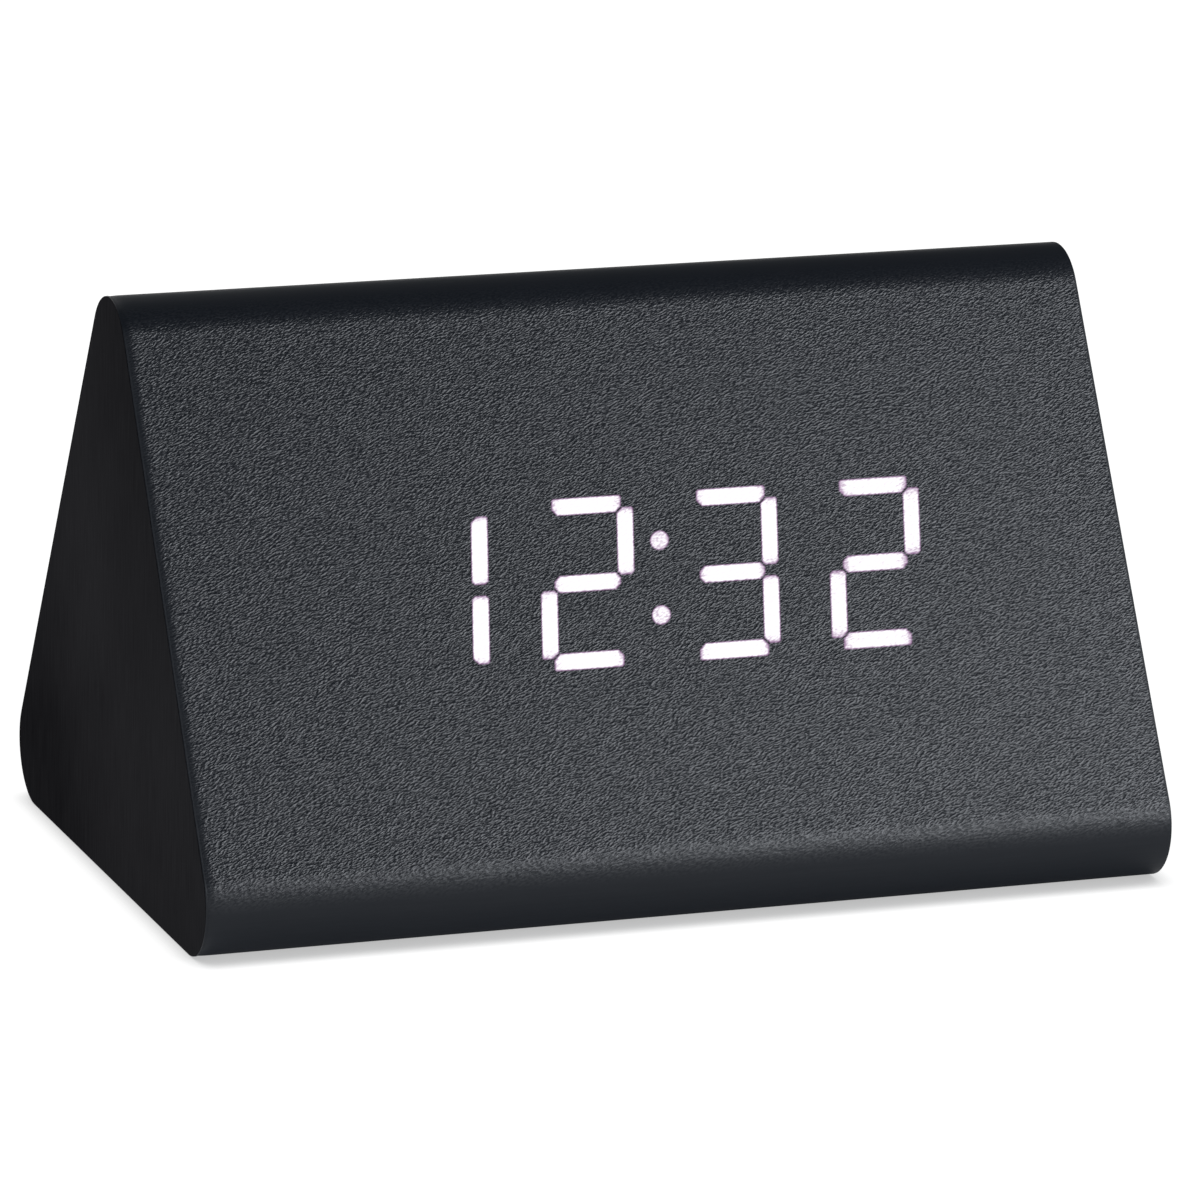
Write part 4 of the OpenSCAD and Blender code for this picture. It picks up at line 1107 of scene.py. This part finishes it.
@dataclass
class Boards:
    """The two circuit boards, what stands on them and the ribbon between them.

    Attributes:
        display_screws: Sideways and upward place of the display board's screws.
        rear_screws: The same for the rear board.
        shank_l: Length of a board screw's shank.
        ribbon_x: Sideways place of the ribbon.
        ribbon_y: Place of its connectors up the slope.
        ribbon_ways: Number of wires.
        ribbon_pitch: Distance between wires.
        ribbon_t: Thickness of the ribbon.
        web: Thickness between the wires, as a share of the ribbon's.
        wire_w: Width of a wire, as a share of the pitch.
        bend_r: Radius of its bend.
        leg_depth: Depth at which the ribbon leaves its connectors.
    """

    display_screws: Point = (39.0, 15.5)
    rear_screws: Point = (36.0, 6.0)
    shank_l: float = 9.5
    ribbon_x: float = -24.0
    ribbon_y: float = -4.0
    ribbon_ways: int = 8
    ribbon_pitch: float = 1.27
    ribbon_t: float = 0.9
    web: float = 0.3
    wire_w: float = 0.96
    bend_r: float = 5.0
    leg_depth: float = 13.5

    def build(self) -> None:
        """Build the ribbon and the screws, and dress the rest."""
        for node, face, (cx, cy), (x, y) in (
            ("display_screws", WEDGE.front, LAYOUT.display, self.display_screws),
            ("rear_screws", WEDGE.back, (0.0, LAYOUT.row_y), self.rear_screws),
        ):
            seats = [face(cx + sx * x, cy + sy * y, -LAYOUT.board_in) for sx, sy in CORNERS]
            ScrewSet(node, seats, self.shank_l).build()
        self.build_ribbon()
        dress(SOLDER_MASK, "display_board", "rear_board")
        dress(NYLON, "display_spacers", "rear_spacers")
        dress(EPOXY, "controller_chip", "digit_transistors", "segment_resistors", "buzzer")
        dress(NICKEL, "watch_crystal", "microphone", "backup_cell")
        dress(SPARKED_ABS, "coin_holder")
        dress(WHITE_STYRENE, "display_connector", "rear_connector")

    def build_ribbon(self) -> None:
        """Sweep a row of joined wires from one connector to the other."""
        start = WEDGE.front(self.ribbon_x, self.ribbon_y, -self.leg_depth).to_translation()
        sin, cos = math.sin(WEDGE.tilt), math.cos(WEDGE.tilt)
        centre = start.z + start.y * cos / sin + self.bend_r / sin
        half = 90 - math.degrees(WEDGE.tilt)
        bend = arc(self.bend_r, 270 - half, 270 + half, 24)
        path = [start, *(Vector((start.x, y, centre + z)) for y, z in bend)]
        path.append(Vector((start.x, -start.y, start.z)))
        top = []
        for i in range(self.ribbon_ways):
            middle = (i - (self.ribbon_ways - 1) / 2) * self.ribbon_pitch
            for x, y in arc(1.0, 180, 0, 6):
                across = self.ribbon_pitch / 2 * x * self.wire_w
                top.append((middle + across, max(self.web, y) * self.ribbon_t / 2))
        section = [(x, -y) for x, y in top] + top[::-1]
        ribbon = piece("ribbon_wires", *swept(path, section), sharp_deg=70)
        place(ribbon, "case", ["ribbon_cable"], [RIBBON_PVC])


@dataclass
class RearPanel:
    """Buttons, their switches, the power socket and the temperature sensor.

    Attributes:
        button_r: Radius of a button.
        out: Distance that a button stands out.
        stem: Depth of a button's foot.
        flange: Radius, and upper and lower depth, of its flange.
        edge: Radius of its rim.
        break_edge: Size of the corners broken off its foot and flange.
        dish: Depth of the hollow in its top.
        dish_power: How slowly the hollow starts at the rim.
        dish_stops: Shares of the hollow's radius at which it is shaped.
        can_edge: Radius of the socket's pressed edges.
    """

    button_r: float = 3.0
    out: float = 1.0
    stem: float = 5.0
    flange: Triple = (4.0, 3.9, 4.7)
    edge: float = 0.5
    break_edge: float = 0.1
    dish: float = 0.15
    dish_power: float = 1.3
    dish_stops: tuple[float, ...] = (0.95, 0.88, 0.75, 0.6, 0.4, 0.2, 0.01)
    can_edge: float = 0.06

    def build(self) -> None:
        """Build the buttons and the socket, and dress the rest."""
        for x, key in zip(LAYOUT.button_xs, ("set", "up", "down")):
            self.build_button(x, key)
            dress(NYLON, f"{key}_plunger")
            dress(EPOXY, f"{key}_switch")
        shell = softened("socket_shell", "socket_can", self.can_edge)
        place(shell, "case", ["socket_shell"], [NICKEL])
        dress(SPARKED_ABS, "socket_tongue")
        dress(GOLD, "socket_contacts")
        dress(BEAD, "thermistor")

    def build_button(self, x: float, key: str) -> None:
        """Turn one button: foot, flange, stem, round rim and a dished top.

        Args:
            x: Sideways place of the button.
            key: First part of its nodes' and body's names.
        """
        r, b, foot, (fr, f0, f1) = self.button_r, self.break_edge, -self.stem, self.flange
        profile = [(0.01, foot), (r - 1.5 * b, foot), (r, foot + b), (r, -f1), (fr - b, -f1)]
        profile += [(fr, -f1 + b), (fr, -f0 - b), (fr - b, -f0), (r, -f0)]
        flat = r - self.edge
        profile += [(flat + u, self.out - self.edge + v) for u, v in arc(self.edge, 0, 90, 8)]
        profile += [(flat * s, self.out - self.dish * (1 - s * s) ** self.dish_power) for s in self.dish_stops]
        button = piece(f"{key}_cap", *turned(profile, WEDGE.back(x, LAYOUT.row_y)))
        place(button, f"{key}_key", [f"{key}_button"], [BUTTON_ABS])


@dataclass
class BatteryBay:
    """Tray, door, batteries and their contacts.

    Attributes:
        cells: Number of batteries.
        pitch: Distance between batteries.
        cell_z: Height of the batteries' middle.
        cell_d: Diameter of a battery.
        cell_l: Length of a battery.
        band: First and last place of the pale band, from the button end.
        bare_r: Radius of the bare metal at a battery's ends.
        tip_x: Distance of the button ends from the middle.
        spring_x: Distance of the springs' feet from the middle.
        spring_l: Length of a spring.
        spring_rs: Radius of its wide and narrow ends.
        spring_turns: Turns in it.
        wire_d: Diameter of its wire.
        play: Room at each end of a spring.
        lead_d: Diameter of a lead.
        tab: Place of the positive terminal's tab.
        pads: Sideways places of the leads' pads from the display's middle, and their place up the slope.
        pulls: How straight each lead leaves its tab and its pad.
        screw_at: Place of the tray's screws, and their seat.
        screw_l: Length of their shanks.
        mould_edge: Radius of the mouldings' edges.
    """

    cells: int = 4
    pitch: float = 11.2
    cell_z: float = 7.85
    cell_d: float = 10.5
    cell_l: float = 44.5
    band: Point = (4.0, 10.0)
    bare_r: float = 4.55
    tip_x: float = 24.2
    spring_x: float = 24.6
    spring_l: float = 4.3
    spring_rs: Point = (3.6, 2.2)
    spring_turns: int = 4
    wire_d: float = 0.55
    play: float = 0.05
    lead_d: float = 1.4
    tab: Triple = (-24.8, -16.8, 16.7)
    pads: Triple = (-31.0, -36.0, -14.0)
    pulls: tuple[Point, Point] = ((9.0, 11.0), (5.0, 13.0))
    screw_at: Triple = (29.4, 26.8, 1.6)
    screw_l: float = 5.9
    mould_edge: float = 0.12

    def build(self) -> None:
        """Build the bay's pieces."""
        for i in range(self.cells):
            self.build_cell(i)
        self.build_springs()
        self.build_leads()
        for node, name, body in (
            ("battery_tray", "bay_moulding", "case"), ("battery_door", "door_moulding", "door"),
        ):
            moulding = softened(node, name, self.mould_edge)
            place(moulding, body, [node], [SPARKED_ABS])
        x, y, seat = self.screw_at
        seats = [Matrix.Translation((sx * x, sy * y, seat)) for sx, sy in CORNERS]
        ScrewSet("tray_screws", seats, self.screw_l).build()
        dress(NICKEL, "bridge_plates", "positive_terminal", "negative_terminal")

    def side(self, i: int) -> int:
        """Side that a battery's button end points to."""
        return -1 if i % 2 == 0 else 1

    def row_y(self, i: int) -> float:
        """Place of a battery from front to back."""
        return (i - (self.cells - 1) / 2) * self.pitch

    def across(self, i: int, x: float, way: int) -> Matrix:
        """Matrix at a place on a battery's middle line, with local Z along it to one side."""
        turn = Matrix.Rotation(way * math.pi / 2, 4, "Y")
        return Matrix.Translation((x, self.row_y(i), self.cell_z)) @ turn

    def build_cell(self, i: int) -> None:
        """Turn one battery: button end, shoulder, sleeved can and hollowed flat end.

        Args:
            i: Number of the battery, from the front.
        """
        side, r, end = self.side(i), self.cell_d / 2, self.cell_l
        tip = side * self.tip_x
        profile = [
            (0.01, 0.0), (1.5, 0.0), (1.8, 0.12), (1.9, 0.35), (1.9, 1.0), (2.3, 1.1), (3.6, 1.05),
            (4.5, 1.02), (4.9, 1.08), (5.1, 1.22), (5.22, 1.5), (r, 1.9), *((r, x) for x in self.band),
            (r, end - 1.6), (5.22, end - 0.8), (5.05, end - 0.25), (4.8, end - 0.05), (4.5, end),
            (4.2, end - 0.1), (3.4, end - 0.3), (0.01, end - 0.3),
        ]
        cell = piece(f"battery_{i + 1}", *turned(profile, self.across(i, tip, -side)))
        sleeve_from, sleeve_to = 1.05, end - 0.02
        for face in cell.data.polygons:
            x, y, z = (c * PER_M for c in face.center)
            along, out = abs(tip - x), math.hypot(y - self.row_y(i), z - self.cell_z)
            if out > self.bare_r and sleeve_from < along < sleeve_to:
                face.material_index = 2 if self.band[0] < along < self.band[1] else 1
        place(cell, "case", [f"battery_cell_{i + 1}"], [NICKEL, SLEEVE, BAND])

    def build_springs(self) -> None:
        """Wind the conical springs."""
        wires = Gathered()
        steps, (wide, narrow) = 24 * self.spring_turns, self.spring_rs
        foot, height = self.wire_d / 2 + self.play, self.spring_l - self.wire_d - 2 * self.play
        for i in range(self.cells):
            spot = self.across(i, -self.side(i) * self.spring_x, self.side(i))
            path = []
            for k in range(steps + 1):
                f = k / steps
                a, r = 2 * math.pi * self.spring_turns * f, wide + (narrow - wide) * f
                path.append(spot @ Vector((r * math.cos(a), r * math.sin(a), foot + height * f)))
            wires.add(*swept(path, disc(self.wire_d / 2, 10)))
        springs = piece("spring_wires", wires.verts, wires.faces, sharp_deg=60)
        place(springs, "case", ["contact_springs"], [NICKEL])

    def build_leads(self) -> None:
        """Run the two leads from the terminals' tabs to their pads."""
        steps, (cx, cy) = 32, LAYOUT.display
        inward = Vector((0, math.sin(WEDGE.tilt), -math.cos(WEDGE.tilt)))
        for k, (name, finish, slot) in enumerate((
            ("positive", RED_PVC, "red_pvc"), ("negative", BLACK_PVC, "black_pvc"),
        )):
            start = Vector((self.tab[0], self.tab[1] * (1 - 2 * k), self.tab[2]))
            pad = WEDGE.front(cx + self.pads[k], cy + self.pads[2], -LAYOUT.board_in).to_translation()
            first, last = start + Vector((0, 0, self.lead_d)), pad + inward * self.lead_d
            rise, dip = self.pulls[k]
            knots = [first, first + Vector((0, 0, rise)), last + inward * dip, last]
            path = [start]
            for f in (n / steps for n in range(steps + 1)):
                weights = ((1 - f) ** 3, 3 * f * (1 - f) ** 2, 3 * f * f * (1 - f), f ** 3)
                path.append(sum((w * p for w, p in zip(weights, knots)), Vector((0, 0, 0))))
            path.append(pad)
            lead = piece(f"{name}_wire", *swept(path, disc(self.lead_d / 2, 16)), sharp_deg=60)
            place(lead, "case", [f"{name}_lead"], [finish])


# The studio


def bearing(turn_deg: float, rise_deg: float) -> Vector:
    """Direction from the clock: 0 degrees to the front, 90 to the right, and so far up."""
    turn, rise = math.radians(turn_deg), math.radians(rise_deg)
    return Vector((math.sin(turn) * math.cos(rise), -math.cos(turn) * math.cos(rise), math.sin(rise)))


def ray_kinds(tree: bpy.types.NodeTree) -> tuple[bpy.types.bpy_prop_collection, bpy.types.Node]:
    """Tell the kinds of rays apart.

    Args:
        tree: Node tree of a material or world.

    Returns:
        Sockets of the kinds by name, and a node that is 1 in gloss and through glass.
    """
    rays = add_node(tree, "LightPath").outputs
    by_gloss, through = rays["Is Glossy Ray"], rays["Is Transmission Ray"]
    return rays, add_node(tree, "Math", {"operation": "MAXIMUM", 0: by_gloss, 1: through})


@dataclass(frozen=True)
class PaperSweep(Surface):
    """White paper: it looks white, keeps the clock's shadow with painted shade near its foot, and is clear
    from below.

    Attributes:
        name: Name of the material.
        tone: Colour of the paper.
        share: Share of plain white in what the camera and gloss see.
        gap: Reach of the painted shade in the gap under the rolled edge, and the white's brightness in it
            and past it, to the camera.
        foot: The same of the wider painted shade that the clock's foot lies in, in gloss.
    """

    name: str = "white_paper_sweep"
    tone: str = "#c4c4c4"
    share: float = 0.75
    gap: Triple = (3.0, 0.64, 1.3)
    foot: Triple = (9.0, 0.0, 1.1)

    def painted_shade(self, tree: bpy.types.NodeTree, shade: Triple) -> bpy.types.Node:
        """Paint shade on the white near the clock, darker where the clock encloses it more.

        Args:
            tree: The material's node tree.
            shade: Reach of the painted shade, and the brightness in it and past it.

        Returns:
            Node that gives the brightness.
        """
        reach, dark, bright = shade
        near = add_node(tree, "AmbientOcclusion", {"Distance": reach * MM, "samples": 8}).outputs["AO"]
        return add_node(tree, "MapRange", {
            "From Min": 0.3, "From Max": 0.95, "To Min": dark, "To Max": bright, "Value": near,
        })

    def shader(self, tree: bpy.types.NodeTree) -> bpy.types.Node:
        """Lay out the look: paper under the lamps, mostly white where it is seen.

        Args:
            tree: The material's empty node tree.

        Returns:
            The shader.
        """
        rays, shine = ray_kinds(tree)
        paper = add_node(tree, "BsdfPrincipled", {
            "Base Color": linear(self.tone), "Roughness": 0.9, "Specular IOR Level": 0.0,
        })
        # To the camera the paper shows past white, so only the painted shade in the gap under the rolled
        # edge darkens it. In gloss it is white too, apart from the painted shade round the clock's foot
        strength = add_node(tree, "Mix", {
            "data_type": "FLOAT", 0: shine, 2: self.painted_shade(tree, self.gap), 3: self.painted_shade(tree, self.foot),
        })
        white = add_node(tree, "Emission", {"Color": linear("#ffffff"), "Strength": strength})
        seen = add_node(tree, "Math", {"operation": "MAXIMUM", 0: rays["Is Camera Ray"], 1: shine})
        share = add_node(tree, "Math", {"operation": "MULTIPLY", 0: seen, 1: self.share})
        lit = add_node(tree, "MixShader", {0: share, 1: paper, 2: white})
        below = add_node(tree, "NewGeometry").outputs["Backfacing"]
        unseen = add_node(tree, "Math", {"operation": "MAXIMUM", 0: below, 1: rays["Is Shadow Ray"]})
        return add_node(tree, "MixShader", {0: unseen, 1: lit, 2: add_node(tree, "BsdfTransparent")})


@dataclass(frozen=True)
class Softbox:
    """A lamp with a wide diffusing front.

    Attributes:
        name: Name of the lamp.
        turn_deg: Direction round the clock: 0 in front, 90 to the right.
        rise_deg: Height of the direction above the table.
        away: Distance from the clock, in metres.
        size: Width and height of its front, in metres.
        radiance: Brightness of its front, where 1 is white.
        tint: Colour of its light.
        aim: Height over the table of the point that it faces, in metres.
    """

    name: str
    turn_deg: float
    rise_deg: float
    away: float
    size: Point
    radiance: float
    tint: str = "#ffffff"
    aim: float = 0.03

    def build(self) -> None:
        """Hang the lamp, facing the clock."""
        way = bearing(self.turn_deg, self.rise_deg)
        lamp = bpy.data.lights.new(self.name, "AREA")
        lamp.shape = "RECTANGLE"
        lamp.size, lamp.size_y = self.size
        lamp.energy = self.radiance * math.pi * self.size[0] * self.size[1]
        lamp.color = linear(self.tint)[:3]
        hung = bpy.data.objects.new(self.name, lamp)
        hung.location = way * self.away + Vector((0, 0, self.aim))
        hung.rotation_euler = way.to_track_quat("Z", "Y").to_euler()
        bpy.context.scene.collection.objects.link(hung)
        log.info("hung %s", self.name)


@dataclass
class Studio:
    """Camera, white table, softboxes and dim room.

    Attributes:
        lens: Focal length.
        sensor: Width of the camera's sensor.
        away: Distance of the camera from its target.
        yaw_deg: Turn of the camera round the clock.
        pitch_deg: Height of the camera's direction.
        roll_deg: Roll of the camera.
        target: Point that the camera looks at.
        sight: Nearest and farthest distance that the camera sees, in metres.
        room: Brightness of the room.
        wall: Sine of the angle above the table at which the white wall starts to darken, and ends.
        table_half: Half the width of the table.
        table_z: Height of its top, just clear of the base.
        softboxes: The lamps.
    """

    lens: float = 234.385
    sensor: float = 36.0
    away: float = 942.2
    yaw_deg: float = -19.706
    pitch_deg: float = 14.231
    roll_deg: float = 0.911
    target: Triple = (1.519, 0.0, 29.709)
    sight: Point = (0.01, 20.0)
    room: float = 0.06
    wall: Point = (0.02, 0.3)
    table_half: float = 3000.0
    table_z: float = -0.03
    softboxes: tuple[Softbox, ...] = (
        Softbox("key_softbox", 35.0, 21.5, 0.9, (0.65, 0.4), 8.6, "#f5f9ff"),
        Softbox("rear_softbox", -150.0, 28.0, 0.9, (0.8, 0.8), 4.0),
        Softbox("right_softbox", 92.0, 20.0, 0.9, (0.6, 0.6), 1.6),
        Softbox("table_softbox", -105.0, -55.0, 0.8, (0.5, 0.5), 8.5),
    )

    def build(self) -> None:
        """Set up the studio."""
        self.build_camera()
        self.build_room()
        self.build_table()
        for softbox in self.softboxes:
            softbox.build()
        bpy.context.scene.view_settings.view_transform = "Standard"

    def build_camera(self) -> None:
        """Put the camera where the photograph was taken."""
        back, roll = bearing(self.yaw_deg, self.pitch_deg), math.radians(self.roll_deg)
        right = (-back).cross(Vector((0, 0, 1))).normalized()
        up = right.cross(-back)
        right, up = right * math.cos(roll) + up * math.sin(roll), up * math.cos(roll) - right * math.sin(roll)
        data = bpy.data.cameras.new("photo_camera")
        data.lens, data.sensor_width = self.lens, self.sensor
        data.clip_start, data.clip_end = self.sight
        camera = bpy.data.objects.new("photo_camera", data)
        axes = Matrix((right, up, back)).transposed().to_4x4()
        spot = (Vector(self.target) + back * self.away) * MM
        camera.matrix_world = Matrix.Translation(spot) @ axes
        bpy.context.scene.collection.objects.link(camera)
        bpy.context.scene.camera = camera

    def build_room(self) -> None:
        """Light the room dimly; its wall shows white to the camera, in gloss and through glass."""
        world = bpy.data.worlds.new("room")
        bpy.context.scene.world = world
        tree = empty_tree(world)
        rays, shine = ray_kinds(tree)
        # The white wall ends above the clock, and the ceiling over it is dark
        way = add_node(tree, "TexCoord").outputs["Generated"]
        rise = add_node(tree, "SeparateXYZ", {0: way}).outputs["Z"]
        start, end = self.wall
        wall = add_node(tree, "MapRange", {
            "From Min": start, "From Max": end, "To Min": 1.0, "To Max": 0.0, "Value": rise,
        })
        seen = add_node(tree, "Math", {"operation": "MULTIPLY", 0: shine, 1: wall})
        white = add_node(tree, "Math", {"operation": "MAXIMUM", 0: rays["Is Camera Ray"], 1: seen})
        strength = add_node(tree, "MapRange", {"To Min": self.room, "To Max": 1.0, "Value": white})
        glow = add_node(tree, "Background", {"Color": linear("#ffffff"), "Strength": strength})
        add_node(tree, "OutputWorld", {"Surface": glow})

    def build_table(self) -> None:
        """Lay the white table under the clock."""
        half = self.table_half
        corners = [(sx * half, sy * half, self.table_z) for sx, sy in CORNERS]
        table = piece("table", corners, [(0, 2, 3, 1)])
        table.data.materials.append(PaperSweep().material())


def main() -> None:
    """Build the studio and the clock's sub-assemblies in order."""
    logging.basicConfig(level=logging.INFO, format="%(name)s: %(message)s")
    for assembly in (Studio(), WrappedCase(), Display(), Boards(), RearPanel(), BatteryBay()):
        assembly.build()


if __name__ == "__main__":
    main()
